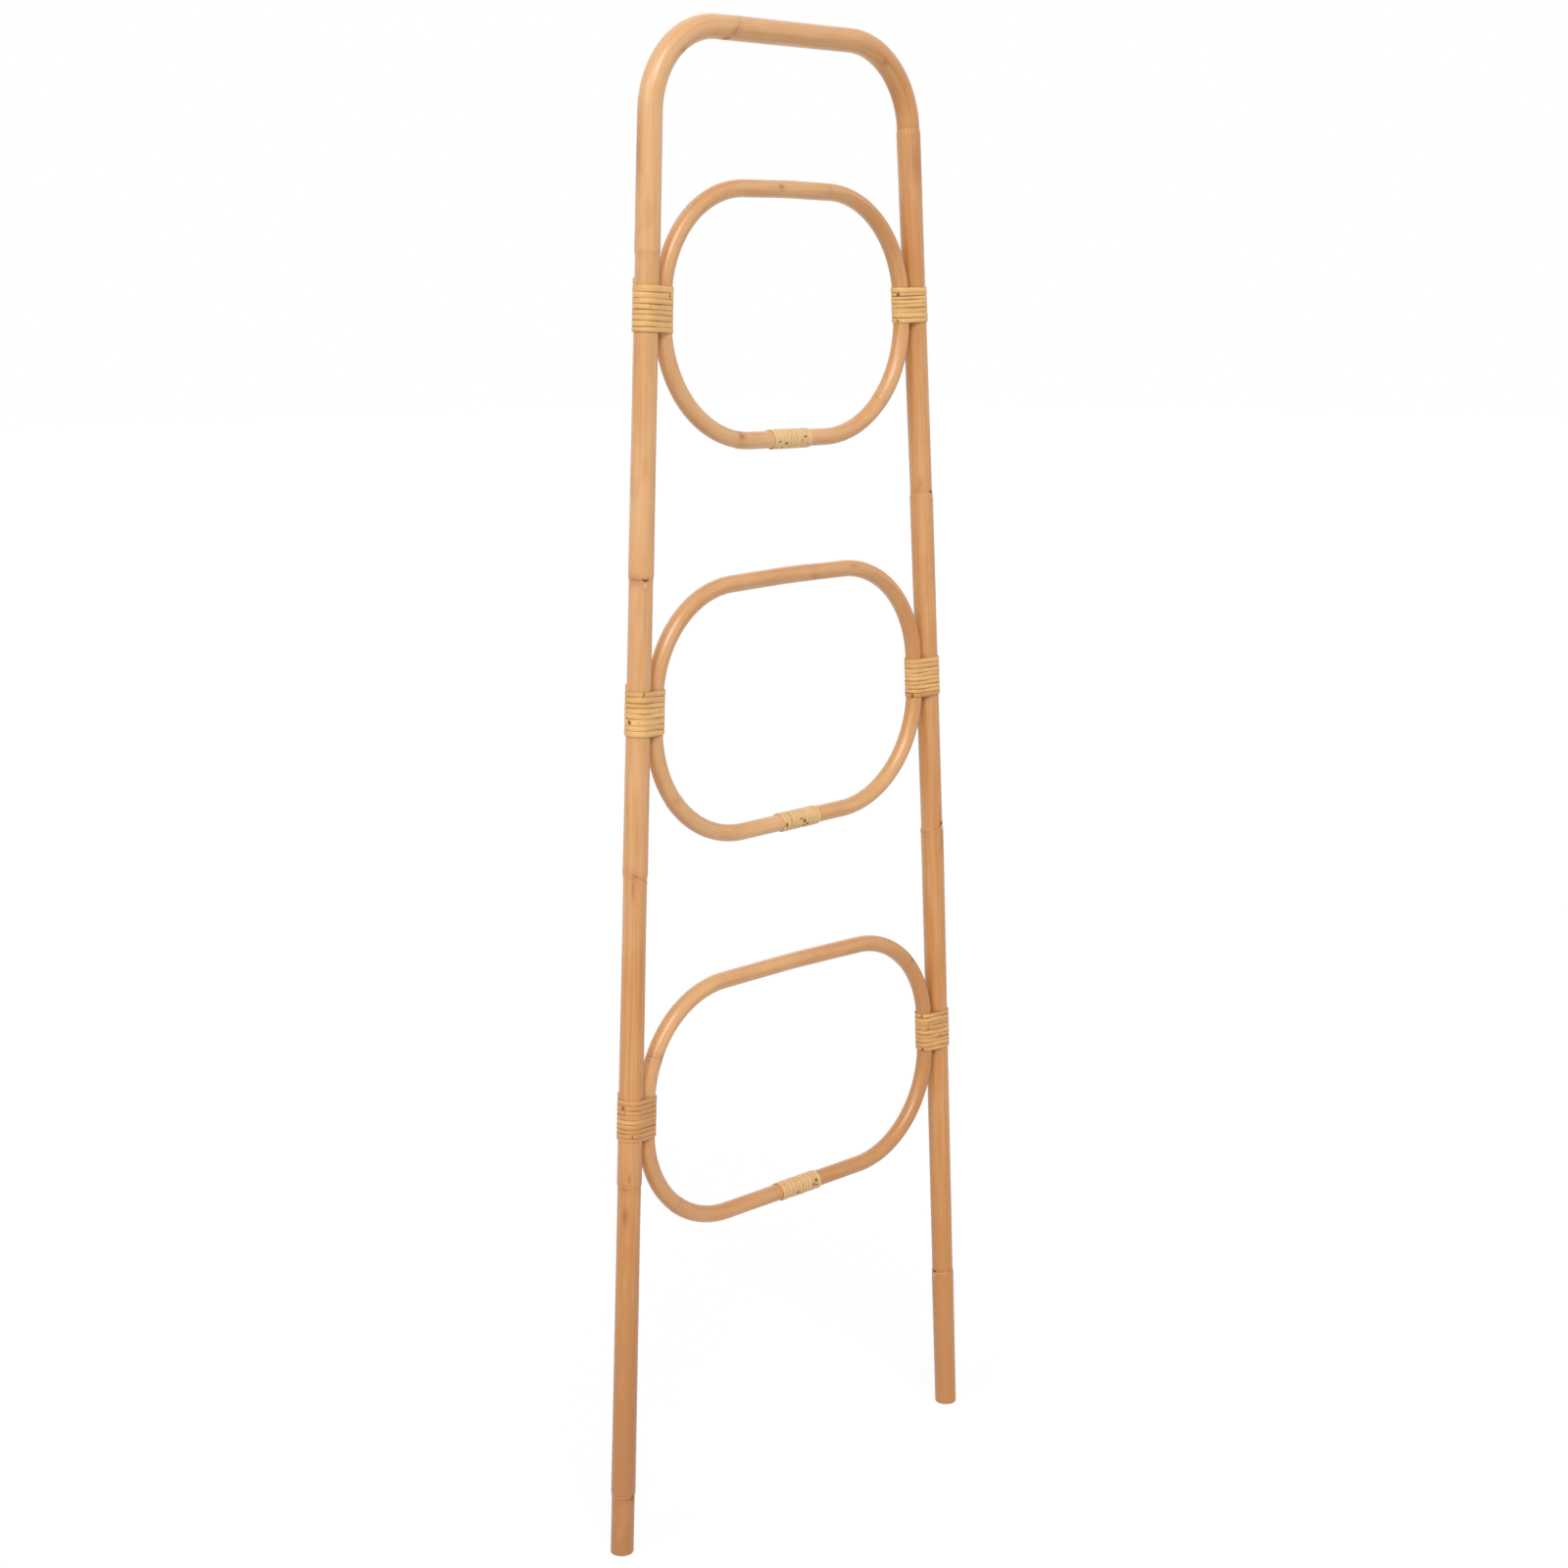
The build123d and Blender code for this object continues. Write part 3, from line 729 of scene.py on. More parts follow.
def strand_tree():
    """A flat-backed strand along a line, turned to the line's outward directions."""
    inputs = {"Points": "Int", "Thickness": "Float", "Skin": "Material"}
    group, nodes, (line, points, thickness, skin) = new_tree("Strand along a line", inputs)
    curve = nodes.add("GeometryNodeMeshToCurve", {}, {"Mesh": line})
    outward = named(nodes, "outward", "FLOAT_VECTOR")
    curve = nodes.add("GeometryNodeSetCurveNormal", {"mode": "FREE"}, {"Curve": curve, "Normal": outward})
    profile = round_profile(nodes, points)
    sockets = {"Curve": curve, "Profile Curve": profile, "Scale": 0.0001, "Fill Caps": True}
    mesh = nodes.add("GeometryNodeCurveToMesh", {}, sockets)
    around = named(nodes, "around")
    crown = around.math("SINE")
    side = around.math("COSINE")
    domed = crown.math("MAXIMUM", 0.0).math("POWER", 0.75) * (1 - EDGE_HEIGHT) + EDGE_HEIGHT
    raised = (domed + crown.math("MINIMUM", 0.0) * 1.6).math("MAXIMUM", 0.0)
    place = nodes.add("GeometryNodeInputPosition", {}, {})
    ragged = named(nodes, "fray") * FRAY_DEPTH
    sidewise, upward = (
        (nodes.add("ShaderNodeTexNoise", {}, {"Vector": place, "Scale": scale, "Detail": 1.0}) - 0.5) * ragged
        for scale in (420.0, 560.0)
    )
    width = side * named(nodes, "breadth") * 0.5 + sidewise
    height = (raised * thickness * named(nodes, "fullness") + upward * raised).math("MINIMUM", thickness)
    aside = scaled(nodes, named(nodes, "sideways", "FLOAT_VECTOR"), width)
    out = scaled(nodes, outward, height)
    moved = nodes.add("ShaderNodeVectorMath", {"operation": "ADD"}, {0: out, 1: aside})
    mesh = nodes.add("GeometryNodeSetPosition", {}, {"Geometry": mesh, "Offset": moved})
    mesh = stored(nodes, mesh, "edge", side.math("ABSOLUTE").math("POWER", 6.0))
    straight = nodes.add("ShaderNodeCombineXYZ", {}, {0: width, 1: height, 2: named(nodes, "distance")})
    tree_end(nodes, stored(nodes, mesh, "straight", straight, "FLOAT_VECTOR"), skin)
    return group


def tack_tree():
    """A tack at each point, turned to the point's outward direction."""
    group, nodes, (points, tack, finish) = new_tree("Tacks at points", {"Tack": "Object", "Finish": "Material"})
    tack = nodes.add("GeometryNodeObjectInfo", {}, {"Object": tack}, output="Geometry")
    outward = named(nodes, "outward", "FLOAT_VECTOR")
    turn = nodes.add("FunctionNodeAlignRotationToVector", {"axis": "Z"}, {"Vector": outward})
    sockets = {"Points": points, "Instance": tack, "Rotation": turn}
    tree_end(nodes, nodes.add("GeometryNodeInstanceOnPoints", {}, sockets), finish)
    return group


def line_object(name, chains, attributes):
    """An object of bare lines, one for each chain of points, with a value of each attribute at each point."""
    mesh = bpy.data.meshes.new(name)
    points = [point for chain in chains for point in chain]
    edges = []
    start = 0
    for chain in chains:
        edges += [(start + k, start + k + 1) for k in range(len(chain) - 1)]
        start += len(chain)
    mesh.from_pydata(points, edges, [])
    for label, values in attributes.items():
        write_values(mesh, label, values)
    return added(bpy.data.objects.new(name, mesh))


def added(thing):
    """The object, once it is in the scene."""
    bpy.context.scene.collection.objects.link(thing)
    return thing


def grown(thing, group, values):
    """The object with its tree applied: a plain mesh in the same place."""
    modifier = thing.modifiers.new(group.name, "NODES")
    modifier.node_group = group
    for item in group.interface.items_tree:
        if item.in_out == "INPUT" and item.name in values:
            modifier[item.identifier] = values[item.name]
    bpy.context.view_layer.update()
    depsgraph = bpy.context.evaluated_depsgraph_get()
    mesh = bpy.data.meshes.new_from_object(thing.evaluated_get(depsgraph), depsgraph=depsgraph)
    thing.modifiers.remove(modifier)
    mesh.name = thing.name
    thing.data = mesh
    for face in mesh.polygons:
        face.use_smooth = True
    return thing


def dressed(piece, slot, *nodes):
    """Fixes a finished piece to the ladder, in the place of its plain nodes."""
    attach(piece, "root")
    if nodes:
        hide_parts(*nodes)


# Canes


# Growth rings: how far apart they usually are, how far a cane takes to swell past one, how far on both sides of one the
# line has more points and how close those are, and how far from one its mark starts to fade and has ended
RING_SPACING = 0.36
RING_SHOULDER = 0.006
RING_REACH = 0.010
RING_DETAIL = 0.0008
RING_FADE = (0.020, 0.030)
# The place and the half width of the ridge just past a ring, and the half width of the crease on it
RIDGE_PLACE = 0.0018
RIDGE_WIDTH = 0.0015
CREASE_WIDTH = 0.0007
# How far round the cane a bud scar's mark reaches, on both sides
BUD_REACH = 0.020
# A cane's slow changes of thickness, as a share
UNEVEN_GIRTH = 0.006


def stations(points, marks):
    """The distance along a line at which each mark lies."""
    along = lengths(points)
    found = []
    for mark in marks:
        place = Vector((mark[0], 0, mark[1]))
        nearest = min(range(len(points)), key=lambda k: (points[k] - place).length)
        found.append(along[nearest])
    return found


def with_stations(points, places):
    """The distances and the points of a line that has more points close to each ring."""
    along = lengths(points)
    extra = round(RING_REACH / RING_DETAIL)
    wanted = {round(s, 6) for s in along}
    wanted |= {round(s + k * RING_DETAIL, 6) for s in places for k in range(-extra, extra + 1)}
    distances = []
    result = []
    index = 0
    for s in sorted(wanted):
        if s < 0 or s > along[-1] or (distances and s - distances[-1] < RING_DETAIL * 0.6):
            continue
        while along[index + 1] < s and index + 2 < len(along):
            index += 1
        share = (s - along[index]) / (along[index + 1] - along[index])
        distances.append(s)
        result.append(points[index].lerp(points[index + 1], share))
    return distances, result


def swelling(s, places, amount):
    """A cane's thickness against its mean: full just past a ring, slender before the next."""
    past = sorted(s - place for place in places if s >= place)
    ahead = sorted(place - s for place in places if s < place)
    if past and ahead:
        since = past[0]
        whole = since + ahead[0]
    else:
        whole = RING_SPACING
        since = past[0] if past else whole - ahead[0]
    full = 1 - 2 * min(max(since / whole, 0.0), 1.0) ** 0.7
    rise = smooth(since / RING_SHOULDER)
    return 1 + amount * (full * rise - (1 - rise) if past else full)


def cane(name, points, marks, radius, swell, group, skin):
    """A cane along a line of points, with its rings raised and its marks stored."""
    sizes = bpy.context.scene.cane_sizes
    found = sorted(stations(points, marks[0]))
    along, places = with_stations(points, found)
    radii = []
    for s, place in zip(along, places):
        girth = radius * swelling(s, found, swell) * (1 + UNEVEN_GIRTH * noise.noise(Vector((s * 9, 3, 7))))
        room = min(CAD_HIGH.z - place.z, CAD_HIGH.x - abs(place.x)) - sizes.ring_ridge
        radii.append(min(girth, max(room, radius * 0.97)))
    thing = line_object(name, [places], {"distance": along, "radius": radii})
    grown(thing, group, {"Sides": sizes.sides, "Skin": skin})
    mark_cane(thing.data, *marks, points, radius, sizes.ring_ridge)
    return thing


def mark_cane(mesh, rings, stains, tones, points, radius, ridge):
    """Stores each point's place on the straightened cane, its tone, and its place on rings, bud scars and stains."""
    count = len(mesh.vertices)
    along = read_floats(mesh, "along", count)
    around = read_floats(mesh, "around", count)
    normals = [vertex.normal.copy() for vertex in mesh.vertices]
    ring_stations = stations(points, rings)
    stain_stations = stations(points, stains)
    tone_stops = sorted(zip(stations(points, tones), [tone[-1] for tone in tones]))
    marks = {"straight": [], "ring": [], "bud": []}
    tone_values = []
    stain_values = []
    for index, vertex in enumerate(mesh.vertices):
        s = along[index]
        angle = around[index]
        side = math.sin(angle)
        marks["straight"].append(Vector((math.cos(angle) * radius, side * radius, s)))
        tone_values.append(between_stops(s, tone_stops))
        ring, station = min(zip(rings, ring_stations), key=lambda pair: abs(s - pair[1] - pair[0].slant / 2 * side))
        distance = s - station - ring.slant / 2 * side
        near = (RING_FADE[1] - abs(distance)) / (RING_FADE[1] - RING_FADE[0])
        marks["ring"].append(Vector((distance, ring.dark * max(0.0, min(1.0, near)), 0.0)))
        above = math.exp(-(((distance - RIDGE_PLACE) / RIDGE_WIDTH) ** 2))
        vertex.co += normals[index] * ridge * ring.dark * (above - math.exp(-((distance / CREASE_WIDTH) ** 2)))
        bud = Vector((1, 1, 0))
        if ring.bud is not None:
            bearing = math.radians(ring.bud)
            away = math.remainder(angle - bearing, 2 * math.pi) * radius
            rise = s - station - ring.slant / 2 * math.sin(bearing)
            bud = Vector((away, -rise if station > along[-1] / 2 else rise, float(abs(away) < BUD_REACH)))
        marks["bud"].append(bud)
        stained = 0.0
        for stain, station in zip(stains, stain_stations):
            rise = (s - station) / stain.length
            if abs(rise) < 2:
                away = math.remainder(angle - math.radians(stain.bearing), 2 * math.pi) * radius / stain.width
                stained = max(stained, stain.dark * math.exp(-(rise**2) - away**2))
        stain_values.append(stained)
    for name, values in marks.items():
        write_values(mesh, name, values)
    write_values(mesh, "tone", tone_values)
    write_values(mesh, "stain", stain_values)


def between_stops(s, stops):
    """The value at a distance between stops."""
    if s <= stops[0][0]:
        return stops[0][1]
    for (low, first), (high, second) in zip(stops, stops[1:]):
        if s <= high:
            return first + (second - first) * (s - low) / (high - low)
    return stops[-1][1]


def write_values(mesh, name, values):
    """Stores a number or a vector at each point of a mesh."""
    vector = isinstance(values[0], Vector)
    layer = mesh.attributes.new(name, "FLOAT_VECTOR" if vector else "FLOAT", "POINT")
    flat = [part for value in values for part in value] if vector else list(values)
    layer.data.foreach_set("vector" if vector else "value", flat)


def read_floats(mesh, name, count):
    """The numbers stored at a mesh's points."""
    values = [0.0] * count
    mesh.attributes[name].data.foreach_get("value", values)
    return values


def smooth(value):
    """A value held between 0 and 1, with a soft start and end."""
    value = min(max(value, 0.0), 1.0)
    return value * value * (3 - 2 * value)


def cut_feet(thing, bevel, end_grain):
    """Cuts both ends level with the floor, wears their edges and closes them with end grain."""
    mesh = thing.data
    mesh.materials.append(end_grain)
    form = bmesh.new()
    form.from_mesh(mesh)
    everything = form.verts[:] + form.edges[:] + form.faces[:]
    bmesh.ops.bisect_plane(form, geom=everything, plane_co=(0, 0, 0), plane_no=(0, 0, -1), clear_outer=True)
    rims = [edge for edge in form.edges if edge.is_boundary]
    made = bmesh.ops.holes_fill(form, edges=rims, sides=0)
    for face in made["faces"]:
        face.material_index = 1
        face.smooth = False
    rims = [edge for face in made["faces"] for edge in face.edges]
    bmesh.ops.bevel(form, geom=rims, offset=bevel, segments=3, profile=0.5, affect="EDGES")
    form.normal_update()
    form.to_mesh(mesh)
    form.free()


# Operators


class CANE_OT_pole(bpy.types.Operator):
    """Make the bent pole with its growth rings and cut feet."""

    bl_idname = "cane_ladder.pole"
    bl_label = "Pole"

    def execute(self, context):
        sizes = context.scene.cane_sizes
        colours = context.scene.cane_colours
        skin = cane_skin("Pole cane", colours.pole_light, colours.pole_dark, colours.ring, colours.stain)
        points = pole_line(sizes.step)
        marks = (POLE_RINGS, POLE_STAINS, POLE_TONES)
        thing = cane("cane_pole", points, marks, sizes.pole / 2, sizes.pole_swell, cane_tree(), skin)
        cut_feet(thing, sizes.foot_bevel, cut_end("Cut cane", colours.heartwood))
        dressed(thing, "pole_cane", "frame_pole")
        return {"FINISHED"}


class CANE_OT_hoops(bpy.types.Operator):
    """Make the three hoops."""

    bl_idname = "cane_ladder.hoops"
    bl_label = "Hoops"

    def execute(self, context):
        sizes = context.scene.cane_sizes
        colours = context.scene.cane_colours
        skin = cane_skin("Hoop cane", colours.hoop_light, colours.hoop_dark, colours.ring, colours.stain)
        group = cane_tree()
        for name in HOOPS:
            points = hoop_line(name, sizes.step)
            points.append(points[0])
            marks = (HOOP_RINGS[name], HOOP_STAINS[name], HOOP_TONES[name])
            thing = cane(f"{name}_hoop_cane", points, marks, sizes.hoop / 2, sizes.hoop_swell, group, skin)
            dressed(thing, "hoop_cane", f"{name}_hoop")
        return {"FINISHED"}


def pair_outline(fraction, rail, hoop, spread):
    """A place on the loop round a rail and a hoop, and the direction out of it.

    The fraction runs from the rail's back round its outer side, over the front, round the hoop and along the back.
    """
    corner = math.acos((rail - hoop) / spread)
    run = math.sqrt(spread**2 - (rail - hoop) ** 2)
    stretches = [rail * (2 * math.pi - 2 * corner), run, hoop * 2 * corner, run]
    distance = (fraction % 1.0) * sum(stretches)
    front = Vector((math.cos(corner), -math.sin(corner)))
    back = Vector((math.cos(corner), math.sin(corner)))
    if distance < stretches[0]:
        angle = corner + distance / rail
        out = Vector((math.cos(angle), math.sin(angle)))
        return out * rail, out
    distance -= stretches[0]
    if distance < run:
        share = distance / run
        return (front * rail).lerp(front * hoop + Vector((spread, 0)), share), front
    distance -= run
    if distance < stretches[2]:
        angle = -corner + distance / hoop
        out = Vector((math.cos(angle), math.sin(angle)))
        return out * hoop + Vector((spread, 0)), out
    distance -= stretches[2]
    return (back * hoop + Vector((spread, 0))).lerp(back * rail, distance / run), back


def pair_length(rail, hoop, spread):
    """The length of that loop."""
    corner = math.acos((rail - hoop) / spread)
    run = math.sqrt(spread**2 - (rail - hoop) ** 2)
    return rail * (2 * math.pi - 2 * corner) + hoop * 2 * corner + 2 * run


def hoop_distance(name, place, inward, up, level):
    """How far the hoop's centre line is from the rail's at a level above a place."""
    best = None
    for point in hoop_line(name, 0.004):
        rise = (point - place).dot(up) - level
        away = (point - place).dot(inward)
        if away < 0.08 and (best is None or abs(rise) < best[0]):
            best = (abs(rise), away)
    return best[1]


# A row of a strand: its place and directions, its size, its place along the strand, and its finish there
Row = namedtuple("Row", "place outward sideways breadth fullness distance tone scar fray")

# How uneven a strand is: for each measure how much, how fast it changes from turn to turn and within one, and its seed
SIDE_HAND = {
    "height": (0.00055, 3.1, 5.0, 0),
    "depth": (0.00012, 1.7, 9.0, 4),
    "breadth": (0.10, 2.3, 4.0, 8),
    "tilt": (0.22, 5.3, 2.0, 2),
    "tone": (0.35, 0.9, 1.5, 6),
    "fullness": (0.12, 4.1, 3.0, 3),
}
JOINT_HAND = {
    "height": (0.0004, 3.1, 5.0, 0),
    "depth": (0.00012, 1.7, 4.0, 4),
    "breadth": (0.06, 2.3, 4.0, 8),
    "tilt": (0.12, 5.3, 2.0, 2),
    "tone": (0.25, 0.9, 1.5, 6),
    "fullness": (0.08, 4.1, 3.0, 3),
}
# How far a strand is pressed into its slack, and how much of its full thickness it has
PRESSED = 0.00012
FULLNESS = 0.88
# The share of a turn at which a side binding's strand starts to climb at the back, and the middle of its front
CLIMB_START = 0.76
FRONT_MIDDLE = 0.45
# The share of a turn at which a joint's strand starts to change its width
JOINT_CHANGE = 0.70
# The levels between which the distance of the two canes is measured
SLICES = 8
# How much browner the brown turn is
BROWNER = 1.6


def uneven(hand, turn, fraction, seed):
    """How far off each measure of a strand is at a share of a turn."""
    return {
        measure: amount * noise.noise(Vector((turn * between, fraction * within, seed + shift)))
        for measure, (amount, between, within, shift) in hand.items()
    }


def wound_rows(name, side):
    """The rows of a side binding's strand, and the two under its tacks."""
    sizes = bpy.context.scene.cane_sizes
    strand = bpy.context.scene.strand_sizes
    binding = BINDINGS[name, side]
    place, inward, up = rail_frame(side, seat(name, side)[0].z + binding.rise)
    rail = sizes.pole / 2 + strand.wrap_gap
    hoop = sizes.hoop / 2 + strand.wrap_gap
    widths = [width / 1000 for width in reversed(binding.widths)]
    last_turn = len(widths) - 1
    whole = sum(widths)
    low = -whole / 2
    spreads = [hoop_distance(name, place, inward, up, low + whole * k / SLICES) for k in range(SLICES + 1)]
    perimeter = pair_length(rail, hoop, spreads[SLICES // 2])
    steps = math.ceil(perimeter / strand.step)
    seed = 10 * list(HOOPS).index(name) + (1 if side == "left" else 5)
    tail = round(strand.tail / perimeter * steps)
    rows = []
    for number in range(len(widths) * steps + tail):
        turn, k = divmod(number, steps)
        width = widths[min(turn, last_turn)]
        following = widths[min(turn + 1, last_turn)]
        fraction = k / steps
        off = uneven(SIDE_HAND, turn, fraction, seed)
        hidden = smooth((fraction - CLIMB_START) / (1 - CLIMB_START))
        climb = binding.front * (fraction - FRONT_MIDDLE * (1 - hidden) - hidden) + hidden
        height = low + sum(widths[:turn]) + width / 2 + (width + following) / 2 * climb + off["height"]
        share = min(max((height - low) / whole, 0), 1) * SLICES
        index = min(int(share), SLICES - 1)
        spread = spreads[index] + (spreads[index + 1] - spreads[index]) * (share - index)
        flat, out = pair_outline(fraction, rail, hoop, spread)
        flat = flat - out * (PRESSED + off["depth"])
        breadth = (width + (following - width) * hidden - strand.gap) * (1 + off["breadth"])
        outward = (inward * out.x + WALL * out.y + up * off["tilt"]).normalized()
        tone = binding.tone + off["tone"]
        if binding.brown is not None and last_turn - binding.brown == turn:
            tone += BROWNER
        fullness = FULLNESS + off["fullness"]
        scar = 0.0
        for row, across, length, dark in binding.scars:
            if last_turn - row == turn and out.y < 0:
                near = math.exp(-(((flat.x - across) / (length / 2)) ** 2))
                scar = max(scar, abs(dark) * near)
                if dark < 0:
                    fullness *= 1 - 0.5 * near
        point = place + inward * flat.x + WALL * flat.y + up * height
        distance = number / steps * perimeter + seed
        rows.append(Row(point, outward, up, breadth, fullness, distance, tone, scar, binding.fray))
    first = round((strand.tail - strand.tack_inset) / perimeter * steps)
    last = round(strand.tack_inset / perimeter * steps)
    return rows, [rows[first], rows[-last]]


def strand_piece(label, rows, group, skin):
    """A strand along its rows."""
    strand = bpy.context.scene.strand_sizes
    attributes = {field: [getattr(row, field) for row in rows] for field in Row._fields[1:]}
    thing = line_object(label, [[row.place for row in rows]], attributes)
    return grown(thing, group, {"Points": strand.sides, "Thickness": strand.thickness, "Skin": skin})


class CANE_OT_side_bindings(bpy.types.Operator):
    """Wind a strand round each rail and hoop where they meet."""

    bl_idname = "cane_ladder.side_bindings"
    bl_label = "Side bindings"

    def execute(self, context):
        colours = context.scene.cane_colours
        # The last number is the strength of the painted shade in the seams between turns
        skin = split_cane("Split cane", colours.strand_light, colours.strand_dark, colours.scar, 0.85)
        group = strand_tree()
        for name, side in BINDINGS:
            piece = strand_piece(f"{name}_{side}_strand", wound_rows(name, side)[0], group, skin)
            dressed(piece, "strand_cane", f"{name}_{side}_binding")
        return {"FINISHED"}


def splice_rows(name):
    """The rows of the strand round a hoop's joint, and the two under its tacks."""
    sizes = bpy.context.scene.cane_sizes
    strand = bpy.context.scene.strand_sizes
    splice = SPLICES[name]
    left = hoop_corners(name, "left")[0]
    right = hoop_corners(name, "right")[0]
    axis = (right - left).normalized()
    middle = left + axis * ((splice.place - left.x) / axis.x)
    lift = WALL.cross(axis) * -1
    widths = [width / 1000 for width in splice.widths]
    radius = sizes.hoop / 2 + strand.wrap_gap
    perimeter = 2 * math.pi * radius
    steps = math.ceil(perimeter / strand.step)
    seed = 40 + 7 * list(HOOPS).index(name)
    rows = []
    for number in range(len(widths) * steps):
        turn, k = divmod(number, steps)
        width = widths[turn]
        following = widths[min(turn + 1, len(widths) - 1)]
        fraction = k / steps
        off = uneven(JOINT_HAND, turn, fraction, seed)
        angle = 2 * math.pi * fraction
        out = WALL * math.cos(angle) + lift * math.sin(angle)
        level = -sum(widths) / 2 + sum(widths[:turn]) + (width + following) / 2 * fraction + off["height"]
        point = middle + axis * level + out * (radius - PRESSED - off["depth"])
        changing = smooth((fraction - JOINT_CHANGE) / (1 - JOINT_CHANGE))
        breadth = (width + (following - width) * changing - strand.gap) * (1 + off["breadth"])
        fullness = FULLNESS + off["fullness"]
        scar = 0.0
        for row, share, length, dark in splice.scars:
            if row == turn:
                near = math.exp(-(((fraction - share) * perimeter / (length / 2)) ** 2))
                scar = max(scar, dark * near)
                fullness *= 1 - 0.3 * near
        distance = number / steps * perimeter + seed
        outward = (out + axis * off["tilt"]).normalized()
        tone = splice.tone + off["tone"]
        rows.append(Row(point, outward, axis, breadth, fullness, distance, tone, scar, splice.fray))
    inset = round(strand.tack_inset / 2 / strand.step)
    return rows, [rows[inset], rows[-inset]]


class CANE_OT_splice_bindings(bpy.types.Operator):
    """Wind a strand round the joint of each hoop."""

    bl_idname = "cane_ladder.splice_bindings"
    bl_label = "Joint bindings"

    def execute(self, context):
        colours = context.scene.cane_colours
        # The last number is the strength of the painted shade in the seams between turns
        skin = split_cane("Split cane, joints", colours.joint_light, colours.joint_dark, colours.scar, 0.5)
        group = strand_tree()
        for name in SPLICES:
            piece = strand_piece(f"{name}_splice_strand", splice_rows(name)[0], group, skin)
            dressed(piece, "strand_cane", f"{name}_splice_binding")
        return {"FINISHED"}


def tack_shape(head, shank, length):
    """A tack with a domed head, its seat at the origin and its head above it."""
    rim = 0.0002
    rise = head * 0.12
    arc = 7
    profile = [(0.0, -length), (shank / 2, -length + shank), (shank / 2, -rim / 2), (head * 0.48, 0.0), (head / 2, rim)]
    for k in range(1, arc):
        angle = k / arc * math.pi / 2
        profile.append((head / 2 * math.cos(angle), rim + rise * math.sin(angle)))
    profile.append((0.0, rim + rise))
    turns = 24
    points = []
    for x, z in profile[1:-1]:
        angles = [2 * math.pi * k / turns for k in range(turns)]
        points += [(x * math.cos(angle), x * math.sin(angle), z) for angle in angles]
    tip, crown = len(points), len(points) + 1
    points += [(0.0, 0.0, profile[0][1]), (0.0, 0.0, profile[-1][1])]
    last = tip - turns
    faces = []
    for k in range(turns):
        after = (k + 1) % turns
        faces.append((tip, after, k))
        faces += [(low + k, low + after, low + turns + after, low + turns + k) for low in range(0, last, turns)]
        faces.append((last + k, last + after, crown))
    mesh = bpy.data.meshes.new("tack")
    mesh.from_pydata(points, [], faces)
    return bpy.data.objects.new("tack", mesh)


class CANE_OT_tacks(bpy.types.Operator):
    """Put a domed tack through both ends of each strand."""

    bl_idname = "cane_ladder.tacks"
    bl_label = "Tacks"

    def execute(self, context):
        strand = context.scene.strand_sizes
        steel = plated_steel("Plated steel, tacks", list(context.scene.cane_colours.steel))
        rows = [row for key in BINDINGS for row in wound_rows(*key)[1]]
        rows += [row for name in SPLICES for row in splice_rows(name)[1]]
        seats = [row.place + row.outward * strand.thickness * row.fullness * 0.97 for row in rows]
        thing = line_object("tacks", [[seat] for seat in seats], {"outward": [row.outward for row in rows]})
        tack = tack_shape(strand.tack_head, strand.tack_head * 0.41, strand.tack_length)
        grown(thing, tack_tree(), {"Tack": tack, "Finish": steel})
        bpy.data.objects.remove(tack)
        dressed(thing, "fastener_steel", "binding_tacks")
        return {"FINISHED"}


class CANE_OT_fasteners(bpy.types.Operator):
    """Give the screws and pins their plated steel."""

    bl_idname = "cane_ladder.fasteners"
    bl_label = "Screws and pins"

    def execute(self, context):
        steel = plated_steel("Plated steel", list(context.scene.cane_colours.steel))
        for node in ("hoop_screws", "splice_pins"):
            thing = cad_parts[node]
            thing.data.materials.clear()
            thing.data.materials.append(steel)
        return {"FINISHED"}


# The lamps: the spread of each one's light and the place from which it shines
LAMPS = {
    "key": (0.5, (-1.3, -1.9, 2.1)),
    "left": (0.7, (-2.5, -0.5, 1.5)),
    "fill": (1.4, (2.4, -1.8, 1.0)),
    "rim": (1.6, (0.6, 2.6, 1.4)),
}


